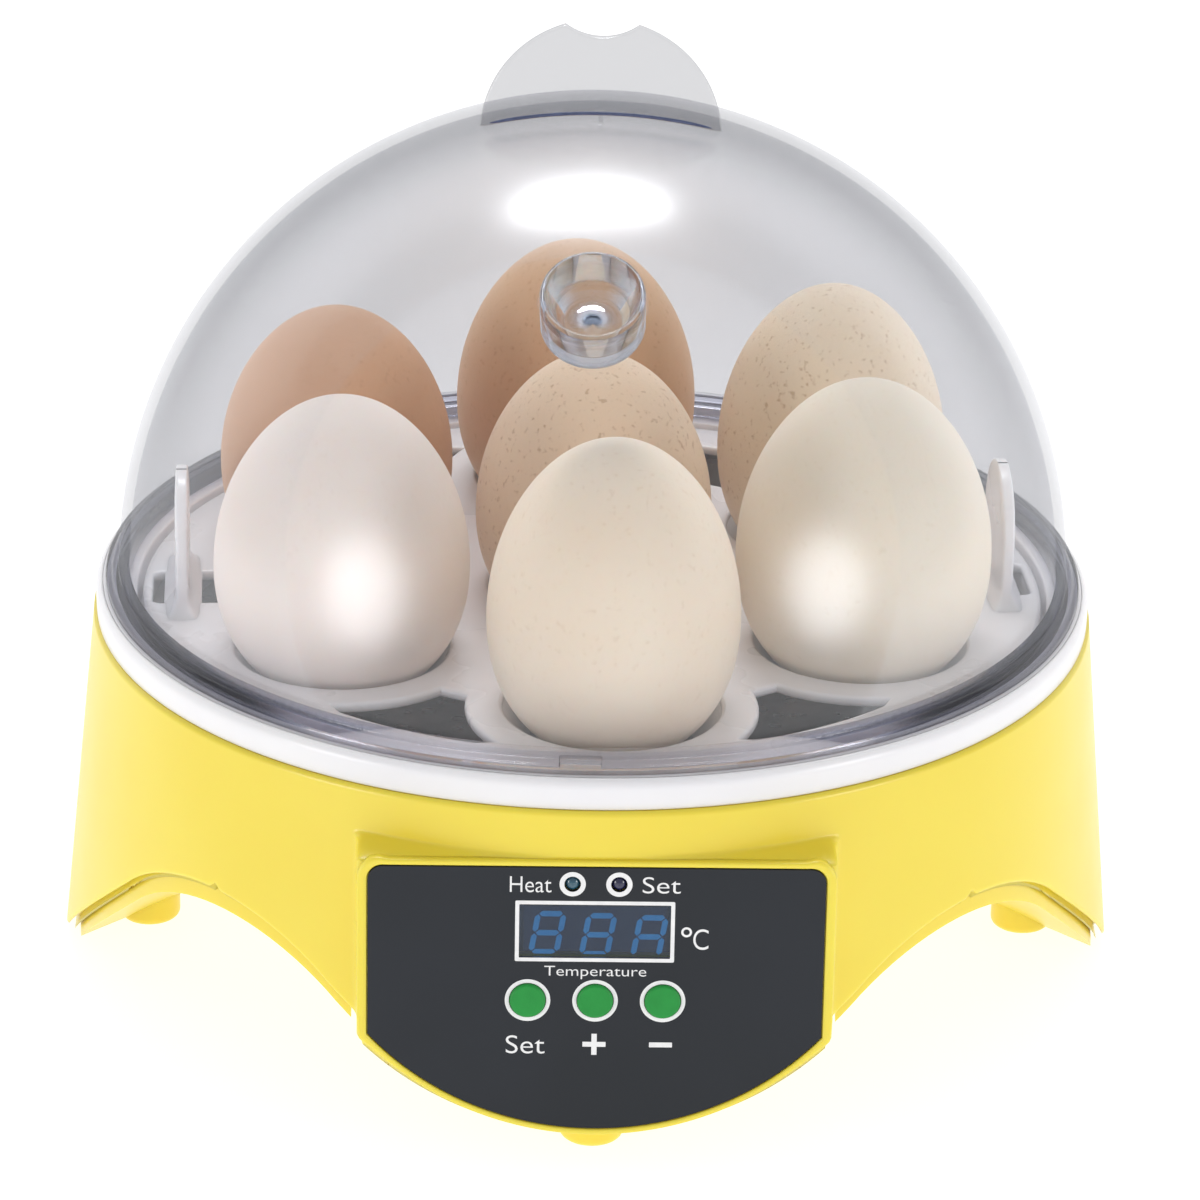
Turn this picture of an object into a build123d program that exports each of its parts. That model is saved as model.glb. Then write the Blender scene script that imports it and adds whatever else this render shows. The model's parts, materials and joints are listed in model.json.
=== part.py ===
from build123d import *
import os
from math import cos, radians, sin, sqrt

os.makedirs("parts", exist_ok=True)

# Small domed incubator for seven hen's eggs. Millimetres, +Z up, front towards -Y.
# The origin is on the ground under the dome's axis.

# casing
legRadius = 102.1          # outside of the yellow casing at its lowest edge
neckRadius = 95.3          # outside of the casing where the white tub sits on it
neckHeight = 69.0
legEdge = 1.5              # height of the side and rear legs' lowest edge
wall = 2.4
coverGap = 0.3             # between the casing and the bottom cover inside it
coverWall = 2.0
coverTop = 43.8
coverDrop = 4.5            # the cover's arches hang this much lower than the casing's
archApex = 40.4
archShoulder = 27.4        # half width where the arch's arc ends
archShoulderHeight = 30.6
archSlope = 0.742

# front lobe with the control panel
lobeHalf = 43.0
lobeTop = 60.5
lobeTilt = 3.5             # degrees that the panel leans back
panelOrigin = (0, -98.6, 33.0)
panelHalf = 40.4
panelTop = 26.2
panelSide = -6.3           # where the straight sides end and the bottom arc starts
panelBottom = -24.5
recess = 1.0
overlayThickness = 0.8

# tub
tubRim = 94.9
tubTop = 75.0
tubFloor = 50.0
floorThickness = 2.5
tubWallOut = 85.0
tubWallIn = 82.6
trayLedge = 66.0
postRadius = 76.0

# dome
domeCentre = 76.0
domeOut = 90.5
domeIn = 88.5
flangeRadius = 93.0
domeTurn = -2.0            # degrees that the dome is turned on its seat
plugTilt = 36.0            # degrees between the plug and the dome's axis
plugRadius = 9.4
plugInner = 80.7           # distance of the plug's closed end from the dome's centre
plugOuter = 91.5
tabCentre = 161.9
tabRadius = 22.4
tabThickness = 2.0

# tray and eggs
trayTop = 72.0
trayRadius = 86.0
trayThickness = 2.0
trayTurn = 3.0             # degrees that the tray is turned in the tub
eggCircle = 56.0
eggBottom = 62.0
cupLip = 20.0
handleRadius = 78.3

# heater, fan and boards
plateBottom = 58.0
plateThickness = 1.2
matThickness = 0.6
fanBottom = 40.0
fanSide = 60.0
boardFace = -8.4           # front of the control board, behind the panel's face
boardThickness = 1.6
powerBoardBottom = 41.5
buttonSpacing = 11.95
buttonRadius = 3.2
buttonHole = 3.35


def polar(radius, azimuth, height=0.0):
    """A place at a radius and an azimuth, which is counted from the front towards +X."""
    angle = radians(azimuth)
    return (radius * sin(angle), -radius * cos(angle), height)


def rod(radius, low, high, x=0.0, y=0.0):
    """An upright cylinder between two heights."""
    middle = (low + high) / 2
    return Pos(x, y, middle) * Cylinder(radius, high - low)


def block(width, depth, low, high, x=0.0, y=0.0):
    """An upright box between two heights."""
    return Pos(x, y, (low + high) / 2) * Box(width, depth, high - low)


def ring(outer, inner, low, high):
    return rod(outer, low, high) - rod(inner, low - 1, high + 1)


def turned(points):
    """A solid of revolution about Z from (radius, height) points."""
    return revolve(make_face(Plane.XZ * Polyline(*points, close=True)), Axis.Z)


def group(solids):
    return Compound(children=list(solids))


def one(shape):
    """The shape's largest solid, without any sliver that a cut leaves."""
    return sorted(shape.solids(), key=lambda solid: solid.volume)[-1]


def save(name, shape):
    export_step(shape, f"parts/{name}.step")


# ---- casing -------------------------------------------------------------

panelPlane = Plane(
    origin=panelOrigin,
    x_dir=(1, 0, 0),
    z_dir=(0, -cos(radians(lobeTilt)), sin(radians(lobeTilt))),
)


def on_panel(u, v, depth, shape):
    """Places a shape on the panel's plane: u to the right, v up, depth outwards."""
    return panelPlane.location * Pos(u, v, depth) * shape


def cone_radius(height, inset=0.0):
    share = (neckHeight - height) / (neckHeight - legEdge)
    return neckRadius + (legRadius - neckRadius) * share - inset


def lobe(inset, top):
    """The front lobe: straight sides that sweep back into the round wall."""
    half = lobeHalf - inset
    outline = make_face(
        [
            Line((-half, -106), (half, -106)),
            Line((half, -106), (half, -98.5 + inset)),
            ThreePointArc((half, -98.5 + inset), (48.2 - inset, -86.6 + inset), (60 - inset, -75)),
            Line((60 - inset, -75), (-60 + inset, -75)),
            ThreePointArc((-60 + inset, -75), (-48.2 + inset, -86.6 + inset), (-half, -98.5 + inset)),
            Line((-half, -98.5 + inset), (-half, -106)),
        ]
    )
    prism = extrude(outline, top)
    front = on_panel(0, 0, 50 - inset, Box(200, 200, 100))
    return prism - front


def casing_body(inset, low, top, lobe_top):
    """The casing's whole volume, moved inwards by an inset."""
    cone = turned(
        [
            (0, low),
            (cone_radius(low, inset), low),
            (cone_radius(top, inset), top),
            (0, top),
        ]
    )
    return cone + (lobe(inset, lobe_top) - block(300, 300, -10, low))


def arch(azimuth, raise_by):
    """The cutter of one arch between two legs, a prism along a diagonal radius."""
    foot = -12.0
    reach = archShoulder + (archShoulderHeight - foot) / archSlope
    outline = make_face(
        [
            Line((-reach, foot), (-archShoulder, archShoulderHeight)),
            ThreePointArc(
                (-archShoulder, archShoulderHeight), (0, archApex), (archShoulder, archShoulderHeight)
            ),
            Line((archShoulder, archShoulderHeight), (reach, foot)),
            Line((reach, foot), (-reach, foot)),
        ]
    )
    prism = extrude(Plane.XZ * outline, 130)
    return Rot(0, 0, azimuth) * Pos(0, 0, raise_by) * prism


def lobe_underside(raise_by):
    """The cutter that rounds the lobe's bottom, under the panel's lower arc."""
    half, side, low = 43.5, 26.8, 7.3
    outline = make_face(
        [
            ThreePointArc((-half, side), (0, low), (half, side)),
            Line((half, side), (half, -20)),
            Line((half, -20), (-half, -20)),
            Line((-half, -20), (-half, side)),
        ]
    )
    return Pos(0, -68, raise_by) * extrude(Plane.XZ * outline, 60)


diagonals = [45, 135, 225, 315]


def under_cut(raise_by, front_raise):
    cutters = lobe_underside(front_raise)
    for azimuth in diagonals:
        cutters += arch(azimuth, raise_by)
    return cutters


def panel_outline(grow):
    """The panel's outline: a rounded top, straight sides and a wide arc below."""
    half, top = panelHalf + grow, panelTop + grow
    side, low = panelSide - grow / 2, panelBottom - grow
    face = make_face(
        [
            Line((half, side), (half, top)),
            Line((half, top), (-half, top)),
            Line((-half, top), (-half, side)),
            ThreePointArc((-half, side), (0, low), (half, side)),
        ]
    )
    corners = face.vertices().filter_by(lambda vertex: vertex.Y > top - 0.1)
    return fillet(corners, 2.8)


buttonPlaces = [(-buttonSpacing, 0.6), (0.0, 0.6), (buttonSpacing, 0.6)]
ledPlaces = [(-4.3, 22.9), (3.9, 22.9)]
displayPlace = (-0.25, 13.9)
displaySize = (26.7, 10.2)
boardBosses = [(-26, 23.5), (26, 23.5), (-26, -5.5), (26, -5.5)]
inletHeight = 36.0


def base_shell():
    body = casing_body(0, legEdge, neckHeight, lobeTop)
    hollow = casing_body(wall, legEdge - 5, neckHeight + 5, lobeTop - wall)
    shell = body - hollow
    # ledge that the bottom cover's upper edge presses against
    ledge = ring(cone_radius(45, wall) + 0.8, 90.8, coverTop + 0.1, coverTop + 2.1)
    ledge -= block(96, 60, 30, 60, 0, -90)
    ledge -= block(40, 40, 30, 60, 0, 92)
    shell = shell + (ledge & body)
    shell = shell - under_cut(0, 0)
    shell -= on_panel(0, 0, -recess, extrude(panel_outline(0), 20))
    width, height = displaySize
    shell -= on_panel(*displayPlace, -5, Box(width - 1.4, height - 1.4, 12))
    for u, v in ledPlaces:
        shell -= on_panel(u, v, -5, Cylinder(1.7, 12))
    for u, v in buttonPlaces:
        shell -= on_panel(u, v, -5, Cylinder(buttonHole, 12))
    for u, v in boardBosses:
        boss = Cylinder(3.0, -boardFace - 3.0) - Cylinder(1.1, 20)
        shell += on_panel(u, v, (boardFace - 3.0) / 2, boss)
    # pocket and hole for the mains inlet in the rear wall
    shell -= block(31, 10, inletHeight - 9.5, inletHeight + 9.5, 0, 96.4 + 5)
    shell -= block(24.4, 20, inletHeight - 6.7, inletHeight + 6.7, 0, 94)
    return one(shell)


def cover_volume(inset, low, raise_by, front_raise):
    body = casing_body(wall + coverGap + inset, low, coverTop + inset, coverTop + inset)
    return body - under_cut(raise_by, front_raise)


footPlaces = {"front": 0, "right": 90, "rear": 180, "left": 270}
footRadius = 86.0
footSize = 5.9


def bottom_cover():
    outside = cover_volume(0, legEdge, -coverDrop, 1.0)
    inside = cover_volume(coverWall, legEdge + 2.5, 2.5 - coverDrop, 3.4)
    cover = outside - inside
    for azimuth in diagonals:
        x, y, _ = polar(postRadius, azimuth)
        cover -= rod(1.7, 20, 50, x, y)
    for azimuth in footPlaces.values():
        x, y, _ = polar(footRadius, azimuth)
        cover -= rod(footSize + 0.05, -5, 14, x, y)
    # slots that let air reach the fan from below
    for index in range(5):
        cover -= block(26, 2.6, 30, 45, 0, -14 + 7 * index)
    # window behind the panel that clears the buttons and the display
    cover -= block(66, 16, 20.5, 60, 0, -94)
    # notch that clears the inlet
    cover -= block(34, 16, inletHeight - 10.5, 60, 0, 98)
    return one(cover)


def foot(azimuth, height):
    """A push-in foot with a rounded sole, held in the cover's leg."""
    x, y, _ = polar(footRadius, azimuth)
    peg = rod(footSize, 0, height)
    sole = peg.edges().sort_by(Axis.Z)[0]
    return Pos(x, y, 0) * fillet(sole, 1.4)


def screws(places, low_head, high_head, tip, radius=1.5, head=3.0):
    """Pan-head screws, each at (x, y), pointing up or down from the head."""
    solids = []
    for x, y in places:
        shank_low, shank_high = sorted([tip, high_head if tip > low_head else low_head])
        pan = rod(head, low_head, high_head, x, y)
        face_height = high_head if tip < low_head else low_head
        depth = -1 if tip < low_head else 1
        slot_middle = face_height + 0.4 * depth
        cross = block(head * 1.2, 0.7, slot_middle - 0.4, slot_middle + 0.4, x, y)
        cross += block(0.7, head * 1.2, slot_middle - 0.4, slot_middle + 0.4, x, y)
        solids.append(one(pan + rod(radius, shank_low, shank_high, x, y) - cross))
    return group(solids)


# ---- tub, heater and fan ------------------------------------------------

heaterScrewPlaces = [polar(66, azimuth)[:2] for azimuth in (0, 90, 180, 270)]
fanScrewPlaces = [(x, y) for x in (-25, 25) for y in (-25, 25)]
postPlaces = [polar(postRadius, azimuth)[:2] for azimuth in diagonals]
powerBossPlaces = [(x, y) for x in (-20.5, 20.5) for y in (41.5, 66.5)]
probePlace = polar(66, 150 + trayTurn)[:2]


def inner_tub():
    rim_inside = 90.4
    seat = 72.6
    tub = turned(
        [
            (0, tubFloor),
            (tubWallOut, tubFloor),
            (tubWallOut, 63.6),
            (89.4, 63.6),
            (89.4, neckHeight),
            (tubRim, neckHeight),
            (tubRim, tubTop - 0.9),
            (tubRim - 0.9, tubTop),
            (rim_inside, tubTop),
            (rim_inside, seat),
            (87.0, seat),
            (87.0, trayLedge),
            (tubWallIn, trayLedge),
            (tubWallIn, tubFloor + floorThickness),
            (0, tubFloor + floorThickness),
        ]
    )
    # spigot under the rim that centres the tub in the casing
    tub += ring(92.5, 90.9, neckHeight - 2.5, neckHeight + 0.5)
    top = tubFloor + floorThickness
    # water channel walls
    tub += ring(61.5, 60.0, top - 0.5, top + 3.0) + ring(32.0, 30.5, top - 0.5, top + 3.0)
    for x, y in heaterScrewPlaces:
        tub += rod(4.0, top - 0.5, plateBottom, x, y)
    for x, y in postPlaces:
        tub += rod(4.5, coverTop - 5.3, tubFloor + 0.5, x, y)
    for x, y in powerBossPlaces:
        tub += rod(3.0, powerBoardBottom + boardThickness, tubFloor + 0.5, x, y)
    tub -= rod(27.0, tubFloor - 1, top + 1)
    for x, y in heaterScrewPlaces:
        tub -= rod(1.6, tubFloor + 2, plateBottom + 1, x, y)
    for x, y in postPlaces:
        tub -= rod(1.6, 30, 48, x, y)
    for x, y in powerBossPlaces:
        tub -= rod(1.3, 40, 48.5, x, y)
    for x, y in fanScrewPlaces:
        tub -= rod(1.6, tubFloor - 1, tubFloor + 2.0, x, y)
    tub -= rod(4.0, tubFloor - 1, top + 1, *probePlace)
    return one(tub)


def heater_plate():
    plate = rod(80.0, plateBottom, plateBottom + plateThickness)
    low, high = plateBottom - 1, plateBottom + plateThickness + 1
    for x, y in heaterScrewPlaces:
        plate -= rod(1.7, low, high, x, y)
    plate -= rod(3.6, low, high, *probePlace)
    for count, radius, hole in ((6, 11, 3.2), (12, 22, 3.2)):
        for index in range(count):
            x, y, _ = polar(radius, index * 360 / count)
            plate -= rod(hole, low, high, x, y)
    return one(plate)


def heater_mat():
    mat = ring(58.0, 34.0, plateBottom - matThickness, plateBottom)
    return one(mat)


def thermal_cutout():
    x, y, _ = polar(46, 130)
    top = plateBottom - matThickness
    body = block(12, 6, top - 3.6, top, x, y)
    tabs = block(17, 2.4, top - 2.2, top - 1.6, x, y)
    return one(fillet(body.edges().filter_by(Axis.Z), 1.0) + tabs)


def temp_probe():
    x, y = probePlace
    probe = rod(2.5, 48.0, 68.0, x, y)
    tip = probe.edges().sort_by(Axis.Z)[-1]
    return fillet(tip, 2.2)


def probe_grommet():
    x, y = probePlace
    top = tubFloor + floorThickness
    body = rod(3.9, tubFloor - 0.1, top + 0.1, x, y)
    body += rod(4.4, top + 0.02, top + 1.4, x, y) + rod(4.4, tubFloor - 1.4, tubFloor - 0.02, x, y)
    return one(body - rod(2.55, 40, 60, x, y))


def fan_frame():
    high = tubFloor
    frame = block(fanSide, fanSide, fanBottom, high)
    frame = fillet(frame.edges().filter_by(Axis.Z), 3.0)
    frame -= rod(28.2, fanBottom - 1, high + 1)
    struts = rod(12.0, fanBottom, fanBottom + 1.4)
    for index in range(4):
        struts += Rot(0, 0, 45 * (2 * index + 1)) * block(34, 3.0, fanBottom, fanBottom + 1.4, 15)
    frame += struts - rod(1.6, fanBottom - 1, fanBottom + 3)
    for x, y in fanScrewPlaces:
        frame -= rod(1.7, fanBottom - 1, high + 1, x, y)
        frame -= rod(3.2, fanBottom - 1, fanBottom + 1.9, x, y)
    return one(frame)


def fan_rotor():
    """A hub on a short shaft with seven pitched blades."""
    rotor = rod(12.0, fanBottom + 2.2, tubFloor - 0.8)
    rotor = fillet(rotor.edges().sort_by(Axis.Z)[-1], 1.2)
    rotor += rod(1.55, fanBottom + 0.2, fanBottom + 3)
    for index in range(7):
        blade = Pos(19, 0, fanBottom + 5.6) * Rot(36, 0, 0) * Box(16.0, 9.0, 1.1)
        rotor += Rot(0, 0, index * 360 / 7) * blade
    return one(rotor & rod(27.2, fanBottom, tubFloor))


# ---- panel and boards ---------------------------------------------------


def panel_overlay():
    overlay = extrude(panel_outline(-0.15), overlayThickness)
    overlay = Pos(0, 0, -recess) * overlay
    width, height = displaySize
    overlay -= Pos(*displayPlace, -recess) * Box(width + 0.1, height + 0.1, 6)
    for u, v in ledPlaces:
        overlay -= Pos(u, v, -recess) * Cylinder(1.65, 6)
    for u, v in buttonPlaces:
        overlay -= Pos(u, v, -recess) * Cylinder(buttonHole, 6)
    return one(on_panel(0, 0, 0, overlay))


def display_window():
    width, height = displaySize
    return on_panel(*displayPlace, -recess + 0.35, Box(width, height, 0.7))


def display_module():
    width, height = displaySize
    front_depth = -1.4
    body_front = -3.4
    nose = Box(width - 1.6, height - 1.6, front_depth - body_front + 0.5)
    nose = Pos(0, 0, (front_depth + body_front - 0.5) / 2) * nose
    body = Box(29.5, 13.3, body_front - boardFace)
    body = Pos(0, 0, (body_front + boardFace) / 2) * body
    return on_panel(*displayPlace, 0, nose + Pos(0, -0.2, 0) * body)


digitWidth, digitHeight, segment = 5.3, 8.0, 0.95
slant = 0.18


def segment_bar(x, y, length, upright):
    """One bar of a digit: a long hexagon, leaning with the digit."""
    half, side = length / 2, segment / 2
    points = [(-half, 0), (-half + side, side), (half - side, side), (half, 0)]
    points += [(half - side, -side), (-half + side, -side)]
    if upright:
        points = [(b, a) for a, b in points]
    points = [(x + a + slant * (y + b), y + b) for a, b in points]
    return extrude(make_face(Polyline(*points, close=True)), 0.25)


def display_segments():
    """Three seven-bar digits that lie on the module's face."""
    bars = []
    across, up = digitWidth - segment, (digitHeight - segment) / 2
    gap = 0.16
    for column in (-8.2, 0.3, 8.8):
        for level in (-up, 0, up):
            bars.append(segment_bar(column, level, across - gap, False))
        for side in (-across / 2, across / 2):
            for level in (-up / 2, up / 2):
                bars.append(segment_bar(column + side, level, up - gap, True))
    return group(on_panel(*displayPlace, -1.38, bar) for bar in bars)


def led(place):
    body = Pos(0, 0, (boardFace + 1 - 1.6) / 2) * Cylinder(1.5, -boardFace - 1 - 1.6)
    body += Pos(0, 0, -1.6) * Sphere(1.5) - Pos(0, 0, -11.6) * Box(10, 10, 20)
    body += Pos(0, 0, boardFace + 0.5) * Cylinder(1.9, 1.0)
    return one(on_panel(*place, 0, body))


def button(place):
    cap = Pos(0, 0, -1.5) * Cylinder(buttonRadius, 3.8)
    cap = fillet(cap.edges().sort_by(Axis.Z)[-1], 0.5)
    flange = Pos(0, 0, -3.9) * Cylinder(4.2, 1.0)
    plunger = Pos(0, 0, -5.3) * Cylinder(1.5, 2.0)
    return one(on_panel(*place, 0, cap + flange + plunger))


def tact_switches():
    """Three switch housings; each takes a button's plunger in its bore."""
    housings = []
    for place in buttonPlaces:
        body = Pos(0, 0, boardFace + 1.5) * Box(6, 6, 3.0)
        body -= Pos(0, 0, boardFace + 2.4) * Cylinder(1.7, 3.2)
        housings.append(one(on_panel(*place, 0, body)))
    return group(housings)


def control_board():
    middle = boardFace - boardThickness / 2
    board = Pos(0, 9, middle) * Box(60, 36, boardThickness)
    for u, v in boardBosses:
        board -= Pos(u, v, middle) * Cylinder(1.4, 4)
    chip = Pos(8, 6, boardFace - boardThickness - 0.9) * Box(10, 7, 1.8)
    socket = Pos(-16, 4, boardFace - boardThickness - 1.2) * Box(8, 5, 2.4)
    return one(on_panel(0, 0, 0, board + chip + socket))


def board_screws():
    back = boardFace - boardThickness
    solids = []
    for place in boardBosses:
        head = Pos(0, 0, back - 0.7) * Cylinder(2.2, 1.4)
        shank = Pos(0, 0, back + 2.4) * Cylinder(1.0, 5.6)
        cross = Pos(0, 0, back - 1.4) * (Box(2.8, 0.6, 0.8) + Box(0.6, 2.8, 0.8))
        solids.append(one(on_panel(*place, 0, head + shank - cross)))
    return group(solids)


def power_board():
    board = block(48, 32, powerBoardBottom, powerBoardBottom + boardThickness, 0, 54)
    for x, y in powerBossPlaces:
        board -= rod(1.5, 35, 50, x, y)
    return one(board)


def transformer():
    """Core and winding bobbin in one potted block with a banded waist."""
    top = powerBoardBottom
    core = block(18, 15, top - 10.5, top, 0, 60)
    core = fillet(core.edges().filter_by(Axis.Z), 0.8)
    return one(core + block(19.6, 9, top - 8.5, top - 1.5, 0, 60))


def capacitor():
    can = rod(4.0, powerBoardBottom - 9.5, powerBoardBottom, 0, 46)
    rim = can.edges().sort_by(Axis.Z)[0]
    return fillet(rim, 0.8)


def heater_switch():
    """The power transistor of the heater, on its cooling plate."""
    top = powerBoardBottom
    body = block(10, 3.6, top - 8, top, 17.5, 59)
    plate = block(11, 1.2, top - 9, top - 0.5, 17.5, 61.4)
    return one(body + plate)


def mains_inlet():
    """A two-pole inlet with a figure-eight socket, flush in the rear pocket."""
    low, high = inletHeight - 6.5, inletHeight + 6.5
    body = block(24, 20.4, low, high, 0, 86.2)
    flange = block(30.6, 2.0, inletHeight - 9.2, inletHeight + 9.2, 0, 97.4)
    flange = fillet(flange.edges().filter_by(Axis.Y), 2.5)
    inlet = body + flange
    socket = Pos(0, 92, inletHeight) * Rot(90, 0, 0) * (
        Pos(-4.3, 0, 0) * Cylinder(4.2, 16)
        + Pos(4.3, 0, 0) * Cylinder(4.2, 16)
        + Box(8.6, 6.0, 16)
    )
    inlet -= socket
    for x in (-4.3, 4.3):
        inlet -= Pos(x, 80, inletHeight) * Rot(90, 0, 0) * Cylinder(1.2, 20)
    return one(inlet)


def inlet_pins():
    return group(
        Pos(x, 85, inletHeight) * Rot(90, 0, 0) * Cylinder(1.15, 22) for x in (-4.3, 4.3)
    )


# ---- tray, eggs and dome ------------------------------------------------


def side_vent(azimuth):
    """A three-cornered vent whose sides follow the two cups beside it."""
    outer, clear, half = 76.0, 26.8, 17.0
    left, right = polar(outer, -half), polar(outer, half)
    sector = make_face(
        [
            Line((0, -48), left[:2]),
            ThreePointArc(left[:2], (0, -outer), right[:2]),
            Line(right[:2], (0, -48)),
        ]
    )
    for side in (-30, 30):
        x, y, _ = polar(eggCircle, side)
        sector -= Pos(x, y) * Circle(clear)
    sector = fillet(sector.vertices(), 1.2)
    return Rot(0, 0, azimuth) * Pos(0, 0, trayTop - 5) * extrude(sector, 8)


def handle_vent(azimuth):
    window = Pos(0, -75, 0) * RectangleRounded(14.6, 18, 2.0)
    return Rot(0, 0, azimuth) * Pos(0, 0, trayTop - 5) * extrude(window, 8)


def handle(azimuth):
    """An upright grip over a vent: a plate with a round top and spread feet."""
    foot, half, shoulder, top = 17.0, 13.0, 83.5, 96.5
    outline = make_face(
        [
            Line((-foot, trayTop - 1), (foot, trayTop - 1)),
            Line((foot, trayTop - 1), (foot, trayTop + 1.2)),
            ThreePointArc((foot, trayTop + 1.2), (half + 1.1, trayTop + 3.4), (half, trayTop + 7)),
            Line((half, trayTop + 7), (half, shoulder)),
            ThreePointArc((half, shoulder), (0, top), (-half, shoulder)),
            Line((-half, shoulder), (-half, trayTop + 7)),
            ThreePointArc((-half, trayTop + 7), (-half - 1.1, trayTop + 3.4), (-foot, trayTop + 1.2)),
            Line((-foot, trayTop + 1.2), (-foot, trayTop - 1)),
        ]
    )
    plate = extrude(Plane.XZ * outline, 1.35, both=True)
    return Rot(0, 0, azimuth) * Pos(0, -handleRadius, 0) * plate


cupPlaces = [(0.0, 0.0)] + [polar(eggCircle, 60 * index)[:2] for index in range(6)]
sideVentPlaces = (30, 150, 210, 330)
handlePlaces = (90, 270)


def egg_tray():
    low = trayTop - trayThickness
    tray = rod(trayRadius, low, trayTop) + ring(trayRadius, trayRadius - 1.6, trayLedge, trayTop)
    cup_low, cup_lip_low = 65.5, 14.6
    depth = trayTop - cup_low
    for x, y in cupPlaces:
        tray += Pos(x, y, (cup_low + trayTop) / 2) * Cone(cup_lip_low + 1.6, cupLip + 1.6, depth)
    for x, y in cupPlaces:
        tray -= Pos(x, y, (cup_low + trayTop) / 2) * Cone(cup_lip_low, cupLip, depth)
        tray -= rod(cup_lip_low - 0.5, 50, 70, x, y)
    for azimuth in sideVentPlaces:
        tray -= side_vent(azimuth)
    for azimuth in handlePlaces:
        tray -= handle_vent(azimuth)
    for azimuth in handlePlaces:
        tray += handle(azimuth)
    return one(Rot(0, 0, trayTurn) * tray)


# width and length of each egg, by its place in the tray
eggs = {
    "front": (0, 46.0, 61.0),
    "front_right": (60, 47.6, 61.4),
    "rear_right": (120, 44.6, 60.0),
    "rear": (180, 47.8, 59.6),
    "rear_left": (240, 45.2, 56.0),
    "front_left": (300, 47.4, 58.8),
    "centre": (None, 45.0, 56.6),
}


def egg(azimuth, width, length):
    """An egg on its blunt end: full below its widest level, tapering above it."""
    low_half = 0.45 * length
    high_half = length - low_half
    points = []
    for degrees in range(-90, 91, 15):
        rise = sin(radians(degrees))
        if degrees <= 0:
            half = width / 2 * sqrt(max(0, 1 - abs(rise) ** 2.2))
            height = eggBottom + low_half * (1 + rise)
        else:
            half = width / 2 * sqrt(max(0, 1 - rise**2)) * (1 - 0.05 * rise**2)
            height = eggBottom + low_half + high_half * rise
        points.append((half, height))
    side = Spline(*points, tangents=[(1, 0), (-1, 0)])
    profile = make_face([side, Line(points[-1], points[0])])
    solid = revolve(Plane.XZ * profile, Axis.Z)
    if azimuth is None:
        return solid
    x, y, _ = polar(eggCircle, azimuth + trayTurn)
    return Pos(x, y, 0) * solid


def plug_axis(distance):
    """Location on the plug's axis, at a distance from the dome's centre."""
    return Pos(0, 0, domeCentre) * Rot(0, 0, domeTurn) * Rot(plugTilt, 0, 0) * Pos(0, 0, distance)


def lift_tab():
    """The clear grip on the crown: part of a disc with a thumb notch in its top."""
    notch_radius, notch_low = 11.3, 181.0
    disc = Pos(0, tabCentre) * Circle(tabRadius)
    disc -= Pos(0, notch_low + notch_radius) * Circle(notch_radius)
    plate = extrude(Plane.XZ * disc, tabThickness / 2, both=True)
    return plate - Pos(0, 0, domeCentre) * Sphere(domeOut - 0.6)


def dome_cover():
    sky = block(300, 300, domeCentre, 400)
    outside = (Pos(0, 0, domeCentre) * Sphere(domeOut)) & sky
    outside += rod(domeOut, tubTop, domeCentre)
    outside += rod(flangeRadius, tubTop, tubTop + 1.6)
    outside += rod(domeOut + 1.2, tubTop, tubTop + 2.3)
    outside += rod(domeIn + 1.4, tubTop - 1.8, tubTop)
    outside += block(7.5, 2.6, tubTop + 1, tubTop + 2.7, 0, -91.2)
    outside += lift_tab()
    inside = (Pos(0, 0, domeCentre) * Sphere(domeIn)) & sky
    inside += rod(domeIn, tubTop - 3, domeCentre)
    dome = outside - inside
    dome = Rot(0, 0, domeTurn) * dome
    return one(dome - plug_axis(domeOut) * Cylinder(plugRadius + 0.1, 30))


def vent_plug():
    """A thick clear cup, open outwards, with a bore that narrows to its floor."""
    length = plugOuter - plugInner
    body = Cylinder(plugRadius, length)
    body = fillet(body.edges().sort_by(Axis.Z)[-1], 0.7)
    bore = Pos(0, 0, 0.9) * Cone(3.4, 7.4, length - 1.8)
    return one(plug_axis((plugOuter + plugInner) / 2) * (body - bore))


# ---- write every node ---------------------------------------------------

save("base_shell", base_shell())
save("bottom_cover", bottom_cover())
for side, azimuth in footPlaces.items():
    save(f"foot_{side}", foot(azimuth, 11.0))
save("cover_screws", screws(postPlaces, 33.8, 35.75, 46.0))
save("inner_tub", inner_tub())
save("heater_plate", heater_plate())
save("heater_mat", heater_mat())
plateTop = plateBottom + plateThickness
save("heater_screws", screws(heaterScrewPlaces, plateTop, plateTop + 1.6, 53.0, 1.5, 2.8))
save("thermal_cutout", thermal_cutout())
save("temp_probe", temp_probe())
save("probe_grommet", probe_grommet())
save("fan_frame", fan_frame())
save("fan_rotor", fan_rotor())
save("fan_screws", screws(fanScrewPlaces, fanBottom + 0.2, fanBottom + 1.85, 51.6, 1.5, 2.9))
save("panel_overlay", panel_overlay())
save("display_window", display_window())
save("display_module", display_module())
save("display_segments", display_segments())
save("led_work", led(ledPlaces[0]))
save("led_set", led(ledPlaces[1]))
for name, place in zip(("set", "plus", "minus"), buttonPlaces):
    save(f"button_{name}", button(place))
save("tact_switches", tact_switches())
save("control_board", control_board())
save("board_screws", board_screws())
save("power_board", power_board())
boardHead = powerBoardBottom - 1.3
save("power_board_screws", screws(powerBossPlaces, boardHead, powerBoardBottom, 48.0, 1.2, 2.3))
save("transformer", transformer())
save("capacitor", capacitor())
save("heater_switch", heater_switch())
save("mains_inlet", mains_inlet())
save("inlet_pins", inlet_pins())
save("egg_tray", egg_tray())
for name, (azimuth, width, length) in eggs.items():
    save(f"egg_{name}", egg(azimuth, width, length))
save("dome_cover", dome_cover())
save("vent_plug", vent_plug())
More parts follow.
